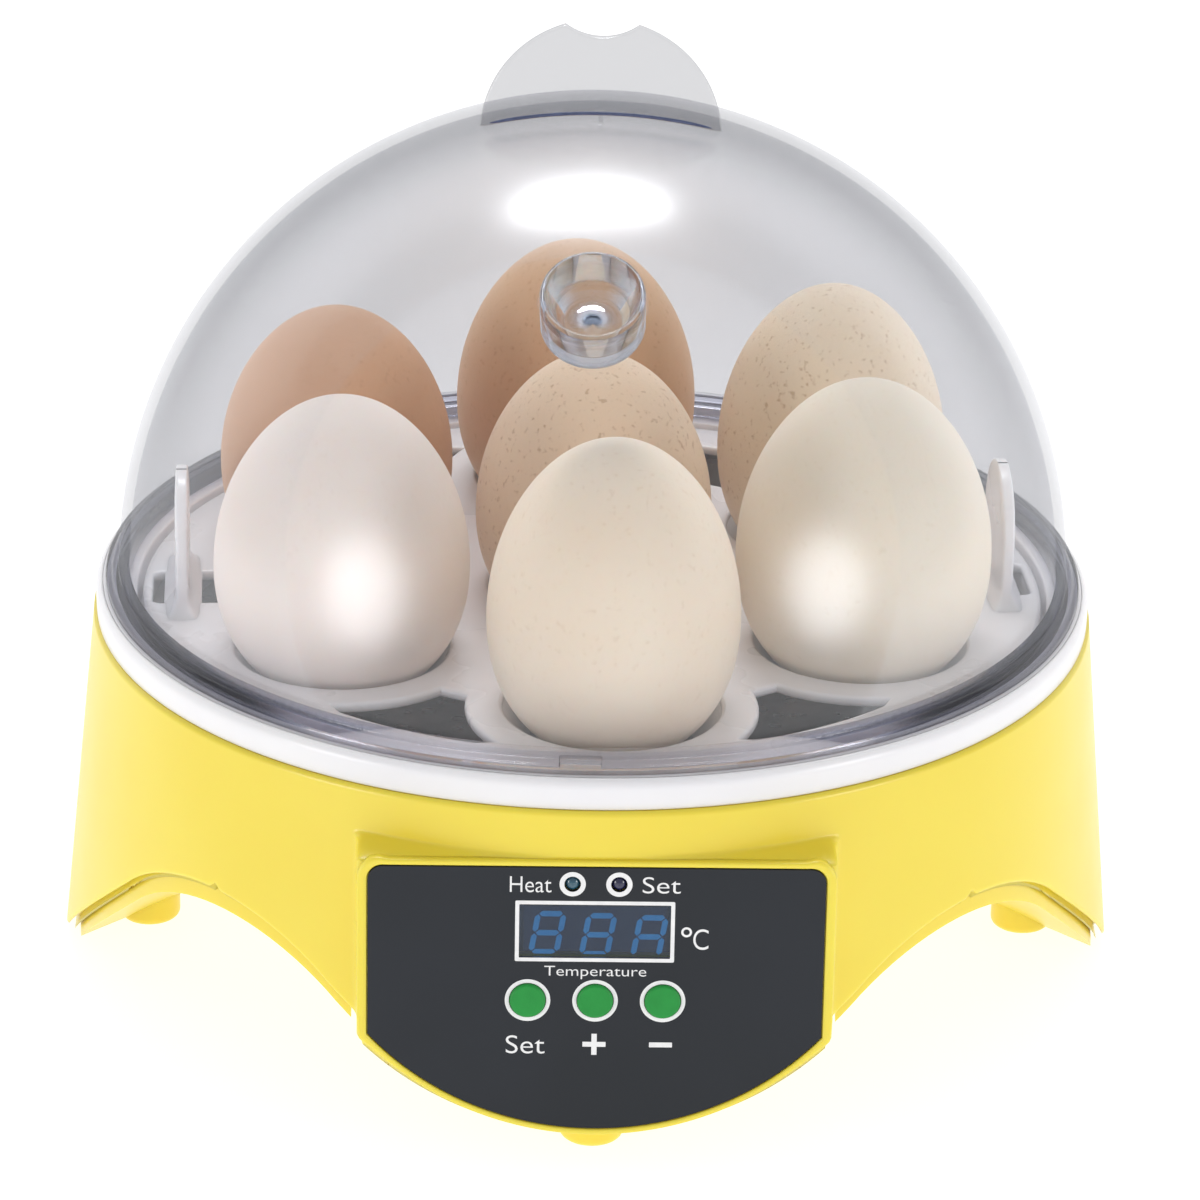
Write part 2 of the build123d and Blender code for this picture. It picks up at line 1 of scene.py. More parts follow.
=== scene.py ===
import json
import bpy
import numpy as np
from math import atan2, cos, pi, radians, sin, sqrt
from mathutils import Matrix, Vector


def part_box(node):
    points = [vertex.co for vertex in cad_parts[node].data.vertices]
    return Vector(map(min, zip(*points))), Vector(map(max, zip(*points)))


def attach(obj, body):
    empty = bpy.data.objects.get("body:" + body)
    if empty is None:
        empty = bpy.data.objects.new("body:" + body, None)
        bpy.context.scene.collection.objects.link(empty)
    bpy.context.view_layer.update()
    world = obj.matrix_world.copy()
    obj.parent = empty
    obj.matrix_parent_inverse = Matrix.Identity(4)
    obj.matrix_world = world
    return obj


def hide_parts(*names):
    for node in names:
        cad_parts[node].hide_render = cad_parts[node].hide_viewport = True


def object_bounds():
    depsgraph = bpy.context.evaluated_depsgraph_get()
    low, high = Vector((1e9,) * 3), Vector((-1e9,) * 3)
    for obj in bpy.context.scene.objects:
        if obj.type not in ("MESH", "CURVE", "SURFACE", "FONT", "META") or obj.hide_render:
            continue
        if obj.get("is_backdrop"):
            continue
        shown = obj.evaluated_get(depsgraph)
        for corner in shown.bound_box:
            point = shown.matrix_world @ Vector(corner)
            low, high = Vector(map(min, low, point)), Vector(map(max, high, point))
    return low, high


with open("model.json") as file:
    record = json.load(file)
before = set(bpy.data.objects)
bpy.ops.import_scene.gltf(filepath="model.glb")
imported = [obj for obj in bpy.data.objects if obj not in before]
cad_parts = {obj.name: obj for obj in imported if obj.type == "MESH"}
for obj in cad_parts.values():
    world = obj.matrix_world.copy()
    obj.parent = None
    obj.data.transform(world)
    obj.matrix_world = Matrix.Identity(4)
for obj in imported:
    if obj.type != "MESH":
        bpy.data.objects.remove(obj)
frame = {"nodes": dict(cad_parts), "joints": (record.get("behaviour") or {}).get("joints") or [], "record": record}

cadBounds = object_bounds()
mm = 0.001
slots = {part["node"]: part["material_slot"] for part in frame["record"]["subparts"]}
print("stage: frame loaded,", len(frame["nodes"]), "nodes")


# small helpers

def toLinear(hexText, alpha=1.0):
    # sRGB hex to the linear colour that shaders use
    values = [int(hexText[i:i + 2], 16) / 255 for i in (0, 2, 4)]
    return [v / 12.92 if v <= 0.04045 else ((v + 0.055) / 1.055) ** 2.4 for v in values] + [alpha]


def addNode(tree, kind, inputs=None, stops=None, **settings):
    # one shader node: its settings, its sockets (a socket given here is linked) and a ramp's stops
    node = tree.nodes.new(kind)
    for name, value in settings.items():
        setattr(node, name, value)
    for name, value in (inputs or {}).items():
        if isinstance(value, bpy.types.NodeSocket):
            tree.links.new(value, node.inputs[name])
        else:
            node.inputs[name].default_value = value
    if stops:
        ramp = node.color_ramp
        while len(ramp.elements) < len(stops):
            ramp.elements.new(0.5)
        for element, (place, colour) in zip(ramp.elements, stops):
            element.position = place
            element.color = colour
    return node


def startMaterial(name):
    material = bpy.data.materials.new(name)
    material.use_nodes = True
    tree = material.node_tree
    tree.nodes.clear()
    coords = addNode(tree, "ShaderNodeTexCoord").outputs["Object"]
    return material, tree, coords


def endMaterial(tree, shader):
    addNode(tree, "ShaderNodeOutputMaterial", {"Surface": shader})


def meshObject(name, points, faces, smooth=True):
    mesh = bpy.data.meshes.new(name)
    mesh.from_pydata(points.reshape(-1, 3), [], faces)
    mesh.update()
    mesh.polygons.foreach_set("use_smooth", np.full(len(mesh.polygons), smooth))
    piece = bpy.data.objects.new(name, mesh)
    bpy.context.collection.objects.link(piece)
    return piece


def gridFaces(rows, columns, wrapRows=False, wrapColumns=False, start=0):
    # quads of a grid whose points run column by column inside each row
    r = np.arange(rows if wrapRows else rows - 1)[:, None]
    c = np.arange(columns if wrapColumns else columns - 1)[None, :]
    r2, c2 = (r + 1) % rows, (c + 1) % columns
    quads = np.stack([r * columns + c, r * columns + c2, r2 * columns + c2, r2 * columns + c], -1)
    return (quads.reshape(-1, 4) + start).tolist()


def roundedProfile(corners, steps=5):
    # (r, z, fillet) corners to a polyline whose corners are arcs, as quadratic curves
    line = []
    count = len(corners)
    for i, (r, z, fillet) in enumerate(corners):
        here = np.array([r, z])
        before = np.array(corners[i - 1][:2])
        after = np.array(corners[(i + 1) % count][:2])
        if fillet <= 0:
            line.append(here)
            continue
        a = here + (before - here) / np.linalg.norm(before - here) * fillet
        b = here + (after - here) / np.linalg.norm(after - here) * fillet
        for t in np.linspace(0, 1, steps):
            line.append(a * (1 - t) ** 2 + here * 2 * t * (1 - t) + b * t * t)
    return np.array(line)


def turnedPoints(profile, columns):
    # profile (radius, height) turned about Z: x = r sin a, y = -r cos a, z = height
    a = np.linspace(0, 2 * pi, columns, endpoint=False)[None, :]
    r, z = profile[:, 0][:, None], profile[:, 1][:, None]
    return np.stack([r * np.sin(a), -r * np.cos(a), z + 0 * a], -1) * mm


def turnedPiece(name, profile, columns=256, closed=True):
    # a lathe shape; profile runs so that its left side is inside the material
    points = turnedPoints(profile, columns)
    faces = gridFaces(len(profile), columns, closed, True)
    return meshObject(name, points, faces)


def evaluated(piece):
    # the piece's mesh with its modifiers applied
    graph = bpy.context.evaluated_depsgraph_get()
    return bpy.data.meshes.new_from_object(piece.evaluated_get(graph))


def flatPlate(name, outlines, thickness, bevel, bevelSteps=3):
    # a plate in XY, centred on z = 0, from closed outlines; holes are outlines inside others
    curve = bpy.data.curves.new(name, "CURVE")
    curve.dimensions = "2D"
    curve.fill_mode = "BOTH"
    curve.extrude = (thickness / 2 - bevel) * mm
    curve.bevel_depth = bevel * mm
    curve.offset = -bevel * mm
    curve.bevel_resolution = bevelSteps
    for outline in outlines:
        spline = curve.splines.new("POLY")
        spline.points.add(len(outline) - 1)
        flat = np.zeros((len(outline), 4))
        flat[:, :2] = np.asarray(outline) * mm
        flat[:, 3] = 1
        spline.points.foreach_set("co", flat.ravel())
        spline.use_cyclic_u = True
    source = bpy.data.objects.new(name + "Curve", curve)
    bpy.context.collection.objects.link(source)
    bpy.context.view_layer.update()
    mesh = evaluated(source)
    mesh.name = name
    bpy.data.objects.remove(source)
    piece = bpy.data.objects.new(name, mesh)
    bpy.context.collection.objects.link(piece)
    return piece


def cut(piece, cutter):
    # takes the cutter's space out of the piece, and drops the cutter
    hole = piece.modifiers.new("hole", "BOOLEAN")
    hole.operation = "DIFFERENCE"
    hole.object = cutter
    hole.solver = "EXACT"
    bpy.context.view_layer.update()
    piece.data = evaluated(piece)
    piece.modifiers.clear()
    bpy.data.objects.remove(cutter)
    return piece


def joined(name, pieces):
    # one object from several, with shared edges kept apart
    pieces[0].name = name
    pieces[0].data.name = name
    with bpy.context.temp_override(active_object=pieces[0], selected_editable_objects=pieces):
        bpy.ops.object.join()
    return pieces[0]


def sharpByAngle(piece, degrees):
    # flat faces stay flat and round ones smooth
    mesh = piece.data
    mesh.polygons.foreach_set("use_smooth", np.ones(len(mesh.polygons), bool))
    mesh.set_sharp_from_angle(angle=radians(degrees))


def finishPiece(piece, material, body, slot, *nodes):
    piece.data.materials.clear()
    piece.data.materials.append(material)
    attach(piece, body)
    if nodes:
        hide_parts(*nodes)
    return piece


def circle(radius, centre=(0, 0), steps=96, start=0.0):
    a = np.linspace(0, 2 * pi, steps, endpoint=False) + start
    return np.stack([centre[0] + radius * np.cos(a), centre[1] + radius * np.sin(a)], -1)


def polar(radius, degrees):
    # azimuth is counted from the front towards +X
    a = radians(degrees)
    return np.array([radius * sin(a), -radius * cos(a)])


def turnedBy(degrees, points):
    # points turned about the upright axis, in two or three dimensions
    a = radians(degrees)
    turn = np.eye(np.shape(points)[-1])
    turn[:2, :2] = (cos(a), -sin(a)), (sin(a), cos(a))
    return points @ turn.T


def smoothStep(low, high, value):
    # 0 before low, 1 after high, with a soft start and end; low may be the larger one
    t = np.clip((value - low) / (high - low), 0, 1)
    return t * t * (3 - 2 * t)


def smoothMax(a, b, reach):
    # the larger of two, with a fillet about as wide as reach where they cross
    h = np.clip(0.5 + 0.5 * (a - b) / reach, 0, 1)
    return b + (a - b) * h + reach * h * (1 - h)


def placedOnPanel(points):
    # u right, v up, w outwards on the leaning panel, all in metres
    lean = radians(panel["lean"])
    right = np.array([1, 0, 0])
    up = np.array([0, sin(lean), cos(lean)])
    out = np.array([0, -cos(lean), sin(lean)])
    origin = np.array(panel["origin"]) * mm
    p = np.asarray(points, float)
    return origin + p[..., :1] * right + p[..., 1:2] * up + p[..., 2:3] * out


def movePoints(piece, change):
    mesh = piece.data
    points = np.empty(len(mesh.vertices) * 3)
    mesh.vertices.foreach_get("co", points)
    mesh.vertices.foreach_set("co", change(points.reshape(-1, 3)).ravel())
    mesh.update()
    return piece


# materials

def mouldedPlastic(spec):
    # moulded ABS or polystyrene: satin skin from a spark-eroded tool, faint flow mottling, soft edge to its
    # gloss
    material, tree, coords = startMaterial(spec["name"])
    mottle = addNode(tree, "ShaderNodeTexNoise", {"Vector": coords, "Scale": 1000 / spec["mottle"],
                                                  "Detail": 3.0})
    base = addNode(tree, "ShaderNodeValToRGB", {"Fac": mottle.outputs["Fac"]},
                   stops=[(0.3, toLinear(spec["colour"])), (0.7, toLinear(spec["shade"]))])
    grain = addNode(tree, "ShaderNodeTexNoise", {"Vector": coords, "Scale": 1000 / spec["grain"],
                                                 "Detail": 2.0})
    rough = addNode(tree, "ShaderNodeMapRange", {"Value": mottle.outputs["Fac"], "From Min": 0.3,
                                                 "From Max": 0.7,
                                                 "To Min": spec["rough"] - 0.03,
                                                 "To Max": spec["rough"] + 0.03})
    bump = addNode(tree, "ShaderNodeBump", {"Height": grain.outputs["Fac"], "Strength": spec["bump"],
                                            "Distance": 0.03 * mm})
    shader = addNode(tree, "ShaderNodeBsdfPrincipled", {
        "Base Color": base.outputs["Color"], "Roughness": rough.outputs["Result"],
        "Normal": bump.outputs["Normal"], "IOR": spec["ior"],
        "Subsurface Weight": spec["scatter"], "Subsurface Radius": spec["radius"],
        "Subsurface Scale": 1.0 * mm,
        "Coat Weight": spec["coat"], "Coat Roughness": 0.12})
    endMaterial(tree, shader.outputs["BSDF"])
    return material


plastics = {
    "yellow": {"name": "yellowAbs", "colour": "F3DE4C", "shade": "F0D944", "mottle": 38, "grain": 0.35,
               "rough": 0.34, "bump": 0.10, "ior": 1.54, "scatter": 0.25, "radius": (2.2, 1.6, 0.4),
               "coat": 0.12},
    "white": {"name": "whiteAbs", "colour": "F0EFF1", "shade": "EBEAEE", "mottle": 30, "grain": 0.35,
              "rough": 0.32, "bump": 0.08, "ior": 1.54, "scatter": 0.3, "radius": (2.0, 1.8, 1.7),
              "coat": 0.1},
    "tray": {"name": "whitePolystyrene", "colour": "F4F2F4", "shade": "F0EEF1", "mottle": 22, "grain": 0.3,
             "rough": 0.28, "bump": 0.06, "ior": 1.59, "scatter": 0.35, "radius": (2.4, 2.0, 1.9),
             "coat": 0.1},
    "black": {"name": "blackAbs", "colour": "17181B", "shade": "1D1E22", "mottle": 14, "grain": 0.3,
              "rough": 0.42, "bump": 0.25, "ior": 1.54, "scatter": 0.0, "radius": (1, 1, 1), "coat": 0.0},
    "green": {"name": "greenSilicone", "colour": "1B943C", "shade": "188C38", "mottle": 3, "grain": 0.18,
              "rough": 0.45, "bump": 0.35, "ior": 1.42, "scatter": 0.1, "radius": (0.4, 1.2, 0.5),
              "coat": 0.0},
    "orange": {"name": "siliconeRubber", "colour": "B2492B", "shade": "A44126", "mottle": 9, "grain": 0.5,
               "rough": 0.6, "bump": 0.4, "ior": 1.42, "scatter": 0.1, "radius": (1.5, 0.5, 0.2),
               "coat": 0.0},
    "rubber": {"name": "blackRubber", "colour": "131313", "shade": "1B1B1A", "mottle": 6, "grain": 0.4,
               "rough": 0.7, "bump": 0.4, "ior": 1.52, "scatter": 0.0, "radius": (1, 1, 1), "coat": 0.0},
    "epoxy": {"name": "epoxyMoulding", "colour": "232427", "shade": "2B2B2E", "mottle": 5, "grain": 0.2,
              "rough": 0.5, "bump": 0.4, "ior": 1.55, "scatter": 0.0, "radius": (1, 1, 1), "coat": 0.0},
    "tape": {"name": "polyesterTape", "colour": "DDB93C", "shade": "CFA931", "mottle": 4, "grain": 0.6,
             "rough": 0.25, "bump": 0.2, "ior": 1.6, "scatter": 0.0, "radius": (1, 1, 1), "coat": 0.3},
    "ink": {"name": "whiteScreenInk", "colour": "F2F2F2", "shade": "E6E6E8", "mottle": 2, "grain": 0.12,
            "rough": 0.5, "bump": 0.2, "ior": 1.5, "scatter": 0.0, "radius": (1, 1, 1), "coat": 0.0},
}
materials = {key: mouldedPlastic(spec) for key, spec in plastics.items()}


def clearPolystyrene(spec):
    # a thin clear wall: straight see-through that darkens where the wall is seen edge on, partly as thin
    # clear walls do and partly as painted reflection of darker surroundings, then turns lighter in a thin rim at
    # the very edge, a painted edge highlight; the far half is darker still, painted shade; and a polished skin.
    # Light on its way to what is inside passes freely, so these tints darken only what the camera sees
    material, tree, coords = startMaterial(spec["name"])
    facing = addNode(tree, "ShaderNodeLayerWeight", {"Blend": 0.5})
    near, far = [addNode(tree, "ShaderNodeValToRGB", {"Fac": facing.outputs["Facing"]},
                         stops=[(place, (v, v, min(1, v * 1.012), 1)) for place, v in spec[half]])
                 for half in ("near", "far")]
    apart = addNode(tree, "ShaderNodeSeparateXYZ", {"Vector": coords})
    # painted shade: the far half of the wall, towards +Y, takes the darker far tint
    paintedRearShade = addNode(tree, "ShaderNodeMapRange", {"Value": apart.outputs["Y"], "From Min": -0.015,
                                                "From Max": 0.035})
    haze = addNode(tree, "ShaderNodeTexNoise", {"Vector": coords, "Scale": 1000 / 45, "Detail": 2.0})
    rough = addNode(tree, "ShaderNodeMapRange", {"Value": haze.outputs["Fac"], "To Min": spec["rough"] - 0.03,
                                                 "To Max": spec["rough"] + 0.03})
    tinted = addNode(tree, "ShaderNodeMix", {0: paintedRearShade.outputs["Result"], 6: near.outputs["Color"],
                                             7: far.outputs["Color"]}, data_type="RGBA")
    path = addNode(tree, "ShaderNodeLightPath")
    inside = addNode(tree, "ShaderNodeMath", {0: path.outputs["Is Shadow Ray"],
                                              1: path.outputs["Is Diffuse Ray"]},
                     operation="MAXIMUM")
    free = addNode(tree, "ShaderNodeMix", {0: inside.outputs[0], 6: tinted.outputs[2],
                                           7: (0.985, 0.985, 0.985, 1)},
                   data_type="RGBA")
    through = addNode(tree, "ShaderNodeBsdfTransparent", {"Color": free.outputs[2]})
    shine = addNode(tree, "ShaderNodeBsdfGlossy", {"Color": (0.95, 0.97, 1.0, 1),
                                                   "Roughness": rough.outputs["Result"]})
    fresnel = addNode(tree, "ShaderNodeFresnel", {"IOR": 1.5})
    share = addNode(tree, "ShaderNodeMapRange", {"Value": fresnel.outputs["Fac"], "From Min": 0.04,
                                                 "From Max": 1.0,
                                                 "To Min": spec["least"], "To Max": spec["most"]})
    seen = addNode(tree, "ShaderNodeMath", {0: 1.0, 1: inside.outputs[0]}, operation="SUBTRACT")
    skin = addNode(tree, "ShaderNodeMath", {0: share.outputs["Result"], 1: seen.outputs[0]},
                   operation="MULTIPLY")
    mixed = addNode(tree, "ShaderNodeMixShader", {0: skin.outputs[0], 1: through.outputs["BSDF"],
                                                  2: shine.outputs["BSDF"]})
    endMaterial(tree, mixed.outputs["Shader"])
    return material


def clearRing():
    # clear polystyrene ring with a blue absorption that shows only along the ring, where the way through is
    # long; the blue is painted reflection, standing in for the dark navy of surroundings refracted inside the ring
    material, tree, coords = startMaterial("clearPolystyreneFlange")
    ripple = addNode(tree, "ShaderNodeTexNoise", {"Vector": coords, "Scale": 1000 / 8, "Detail": 1.0})
    bump = addNode(tree, "ShaderNodeBump", {"Height": ripple.outputs["Fac"], "Strength": 0.2,
                                            "Distance": 0.05 * mm})
    through = addNode(tree, "ShaderNodeBsdfTransparent", {"Color": (0.93, 0.93, 0.94, 1)})
    shine = addNode(tree, "ShaderNodeBsdfGlossy", {"Color": (1, 1, 1, 1), "Roughness": 0.12,
                                                   "Normal": bump.outputs["Normal"]})
    fresnel = addNode(tree, "ShaderNodeFresnel", {"IOR": 1.59})
    mixed = addNode(tree, "ShaderNodeMixShader", {0: fresnel.outputs["Fac"], 1: through.outputs["BSDF"],
                                                  2: shine.outputs["BSDF"]})
    # painted reflection: the blue absorption gives the dark navy band that refraction and inner reflection would
    # give
    body = addNode(tree, "ShaderNodeVolumeAbsorption", {"Color": (0.30, 0.36, 0.80, 1), "Density": 55.0})
    addNode(tree, "ShaderNodeOutputMaterial", {"Surface": mixed.outputs["Shader"],
                                               "Volume": body.outputs["Volume"]})
    return material


def thickClear(name, tint, rough):
    # thick polished polystyrene, which bends what is seen through it; faint ripples from the mould
    material, tree, coords = startMaterial(name)
    ripple = addNode(tree, "ShaderNodeTexNoise", {"Vector": coords, "Scale": 1000 / 6, "Detail": 1.0})
    bump = addNode(tree, "ShaderNodeBump", {"Height": ripple.outputs["Fac"], "Strength": 0.15,
                                            "Distance": 0.05 * mm})
    bent = addNode(tree, "ShaderNodeBsdfGlass", {"Color": toLinear(tint), "Roughness": rough, "IOR": 1.50,
                                                 "Normal": bump.outputs["Normal"]})
    straight = addNode(tree, "ShaderNodeBsdfTransparent", {"Color": toLinear(tint)})
    facing = addNode(tree, "ShaderNodeLayerWeight", {"Blend": 0.5})
    share = addNode(tree, "ShaderNodeMapRange", {"Value": facing.outputs["Facing"], "From Min": 0.2,
                                                 "From Max": 0.5,
                                                 "To Min": 0.12, "To Max": 1.0})
    mixed = addNode(tree, "ShaderNodeMixShader", {0: share.outputs["Result"], 1: straight.outputs["BSDF"],
                                                  2: bent.outputs["BSDF"]})
    endMaterial(tree, mixed.outputs["Shader"])
    return material


clears = {
    # the last near stop is lighter, a painted edge highlight; the far stops are darker, painted shade on the far
    # half
    "dome": {"name": "clearPolystyrene", "near": [(0.0, 0.965), (0.5, 0.95), (0.78, 0.90), (1.0, 0.94)],
             "far": [(0.0, 0.82), (0.5, 0.76), (0.75, 0.67), (1.0, 0.85)], "rough": 0.24, "least": 0.045,
             "most": 0.16},
    "grip": {"name": "clearPolystyreneGrip", "near": [(0.0, 0.765), (0.5, 0.75), (0.9, 0.62)],
             "far": [(0.0, 0.765), (0.5, 0.75), (0.9, 0.62)], "rough": 0.15, "least": 0.03, "most": 0.16},
}
for key, spec in clears.items():
    materials[key] = clearPolystyrene(spec)
materials["plug"] = thickClear("clearPolystyreneThick", "EEF1F6", 0.0)
materials["flange"] = clearRing()


def eggshell(spec):
    # eggshell: matte calcite skin with pores about 0.3 mm apart, cloudy pigment and fine speckles
    material, tree, coords = startMaterial(spec["name"])
    cloud = addNode(tree, "ShaderNodeTexNoise", {"Vector": coords, "Scale": 1000 / 24, "Detail": 4.0})
    base = addNode(tree, "ShaderNodeValToRGB", {"Fac": cloud.outputs["Fac"]},
                   stops=[(0.32, toLinear(spec["colour"])), (0.68, toLinear(spec["shade"]))])
    fleck = addNode(tree, "ShaderNodeTexNoise", {"Vector": coords, "Scale": 1000 / 1.1, "Detail": 2.0})
    fleckShare = addNode(tree, "ShaderNodeMapRange", {
        "Value": fleck.outputs["Fac"], "From Min": 0.60, "From Max": 0.72, "To Min": 0.0,
        "To Max": spec["flecks"]})
    colour = addNode(tree, "ShaderNodeMix", {0: fleckShare.outputs["Result"], 6: base.outputs["Color"],
                                             7: toLinear(spec["fleck"])}, data_type="RGBA")
    pores = addNode(tree, "ShaderNodeTexVoronoi", {"Vector": coords, "Scale": 1000 / 0.9})
    bump = addNode(tree, "ShaderNodeBump", {"Height": pores.outputs["Distance"], "Strength": 0.12,
                                            "Distance": 0.04 * mm})
    shader = addNode(tree, "ShaderNodeBsdfPrincipled", {
        "Base Color": colour.outputs[2], "Roughness": 0.62, "Normal": bump.outputs["Normal"], "IOR": 1.45,
        "Subsurface Weight": 0.35, "Subsurface Radius": (2.6, 1.5, 1.0), "Subsurface Scale": 1.0 * mm,
        "Sheen Weight": 0.1, "Sheen Roughness": 0.5})
    endMaterial(tree, shader.outputs["BSDF"])
    return material


shells = {
    "front": {"name": "eggshellCream", "colour": "F7E8D4", "shade": "F4E2CB", "fleck": "D9BE9E",
              "flecks": 0.25},
    "front_right": {"name": "eggshellIvory", "colour": "F6EBD9", "shade": "F3E5CE", "fleck": "DCC7A4",
                    "flecks": 0.2},
    "front_left": {"name": "eggshellPinkish", "colour": "F7EBE3", "shade": "F4E5DB", "fleck": "DFC6B6",
                   "flecks": 0.15},
    "centre": {"name": "eggshellBuff", "colour": "F2D9BD", "shade": "EDD1B2", "fleck": "B98F67",
               "flecks": 0.55},
    # the rear eggs' browner, darker colours are partly their own tone and partly painted shade from the dome's
    # tint and shadow
    "rear": {"name": "eggshellTanWithPaintedShade", "colour": "DDB58E", "shade": "D6AA80", "fleck": "B88558", "flecks": 0.4},
    "rear_left": {"name": "eggshellBrownWithPaintedShade", "colour": "D6A67F", "shade": "CE9B71", "fleck": "BC8D64",
                  "flecks": 0.35},
    "rear_right": {"name": "eggshellSandWithPaintedShade", "colour": "F1DFC5", "shade": "ECD6B8", "fleck": "BD9A70",
                   "flecks": 0.6},
}
for place, spec in shells.items():
    materials["egg_" + place] = eggshell(spec)


def wetAluminium():
    # rolled aluminium sheet, brushed one way, with beads of condensation about 3 mm across
    material, tree, coords = startMaterial("aluminiumSheet")
    streak = addNode(tree, "ShaderNodeMapping", {"Vector": coords, "Scale": (60, 900, 60)})
    brush = addNode(tree, "ShaderNodeTexNoise", {"Vector": streak.outputs["Vector"], "Scale": 1.0,
                                                 "Detail": 4.0})
    stain = addNode(tree, "ShaderNodeTexNoise", {"Vector": coords, "Scale": 1000 / 12, "Detail": 5.0})
    beads = addNode(tree, "ShaderNodeTexVoronoi", {"Vector": coords, "Scale": 1000 / 4.2, "Randomness": 1.0})
    bead = addNode(tree, "ShaderNodeMapRange", {"Value": beads.outputs["Distance"], "From Min": 0.12,
                                                "From Max": 0.36, "To Min": 1.0, "To Max": 0.0})
    base = addNode(tree, "ShaderNodeValToRGB", {"Fac": stain.outputs["Fac"]},
                   stops=[(0.35, toLinear("BDB7B4")), (0.65, toLinear("A29B98"))])
    rough = addNode(tree, "ShaderNodeMapRange", {"Value": bead.outputs["Result"], "To Min": 0.34,
                                                 "To Max": 0.06})
    height = addNode(tree, "ShaderNodeMath", {0: brush.outputs["Fac"], 1: 0.12}, operation="MULTIPLY")
    both = addNode(tree, "ShaderNodeMath", {0: height.outputs[0], 1: bead.outputs["Result"]}, operation="ADD")
    bump = addNode(tree, "ShaderNodeBump", {"Height": both.outputs[0], "Strength": 0.7, "Distance": 0.5 * mm})
    shader = addNode(tree, "ShaderNodeBsdfPrincipled", {
        "Base Color": base.outputs["Color"], "Metallic": 0.85, "Roughness": rough.outputs["Result"],
        "Normal": bump.outputs["Normal"]})
    endMaterial(tree, shader.outputs["BSDF"])
    return material


def turnedMetal(name, colour, shade, rough):
    # plated or drawn metal with faint lengthwise draw lines
    material, tree, coords = startMaterial(name)
    lines = addNode(tree, "ShaderNodeTexNoise", {"Vector": coords, "Scale": 1000 / 0.8, "Detail": 3.0})
    base = addNode(tree, "ShaderNodeValToRGB", {"Fac": lines.outputs["Fac"]},
                   stops=[(0.3, toLinear(colour)), (0.7, toLinear(shade))])
    roughness = addNode(tree, "ShaderNodeMapRange", {"Value": lines.outputs["Fac"], "To Min": rough - 0.06,
                                                     "To Max": rough + 0.06})
    bump = addNode(tree, "ShaderNodeBump", {"Height": lines.outputs["Fac"], "Strength": 0.15,
                                            "Distance": 0.02 * mm})
    shader = addNode(tree, "ShaderNodeBsdfPrincipled", {
        "Base Color": base.outputs["Color"], "Metallic": 1.0, "Roughness": roughness.outputs["Result"],
        "Normal": bump.outputs["Normal"]})
    endMaterial(tree, shader.outputs["BSDF"])
    return material


def circuitBoard():
    # glass-epoxy board under green lacquer, with copper tracks that show as paler lines
    material, tree, coords = startMaterial("circuitBoardLacquer")
    tracks = addNode(tree, "ShaderNodeTexBrick", {
        "Vector": coords, "Scale": 1000 / 9, "Mortar Size": 0.06, "Color1": toLinear("14532B"),
        "Color2": toLinear("175A30"), "Mortar": toLinear("2C7A45")})
    weave = addNode(tree, "ShaderNodeTexNoise", {"Vector": coords, "Scale": 1000 / 0.5, "Detail": 2.0})
    bump = addNode(tree, "ShaderNodeBump", {"Height": weave.outputs["Fac"], "Strength": 0.2,
                                            "Distance": 0.02 * mm})
    shader = addNode(tree, "ShaderNodeBsdfPrincipled", {
        "Base Color": tracks.outputs["Color"], "Roughness": 0.35, "Normal": bump.outputs["Normal"],
        "IOR": 1.5, "Coat Weight": 0.3})
    endMaterial(tree, shader.outputs["BSDF"])
    return material


def panelFilm():
    # printed polycarbonate film, matte and dark grey, with a fine pebbled grain
    material, tree, coords = startMaterial("polycarbonateFilm")
    grain = addNode(tree, "ShaderNodeTexNoise", {"Vector": coords, "Scale": 1000 / 0.45, "Detail": 2.0})
    tone = addNode(tree, "ShaderNodeTexNoise", {"Vector": coords, "Scale": 1000 / 30, "Detail": 2.0})
    base = addNode(tree, "ShaderNodeValToRGB", {"Fac": tone.outputs["Fac"]},
                   stops=[(0.3, toLinear("2B2E34")), (0.7, toLinear("282B30"))])
    bump = addNode(tree, "ShaderNodeBump", {"Height": grain.outputs["Fac"], "Strength": 0.35,
                                            "Distance": 0.03 * mm})
    shader = addNode(tree, "ShaderNodeBsdfPrincipled", {
        "Base Color": base.outputs["Color"], "Roughness": 0.55, "Normal": bump.outputs["Normal"], "IOR": 1.58,
        "Specular IOR Level": 0.2})
    endMaterial(tree, shader.outputs["BSDF"])
    return material


def tintedLens(name, colour, shade, rough):
    # tinted clear resin over a dark inside: a deep colour with a fine random cloud
    material, tree, coords = startMaterial(name)
    depth = addNode(tree, "ShaderNodeTexNoise", {"Vector": coords, "Scale": 1000 / 1.4, "Detail": 3.0})
    base = addNode(tree, "ShaderNodeValToRGB", {"Fac": depth.outputs["Fac"]},
                   stops=[(0.35, toLinear(colour)), (0.65, toLinear(shade))])
    shader = addNode(tree, "ShaderNodeBsdfPrincipled", {
        "Base Color": base.outputs["Color"], "Roughness": rough, "IOR": 1.54, "Coat Weight": 0.6,
        "Coat Roughness": 0.05})
    endMaterial(tree, shader.outputs["BSDF"])
    return material


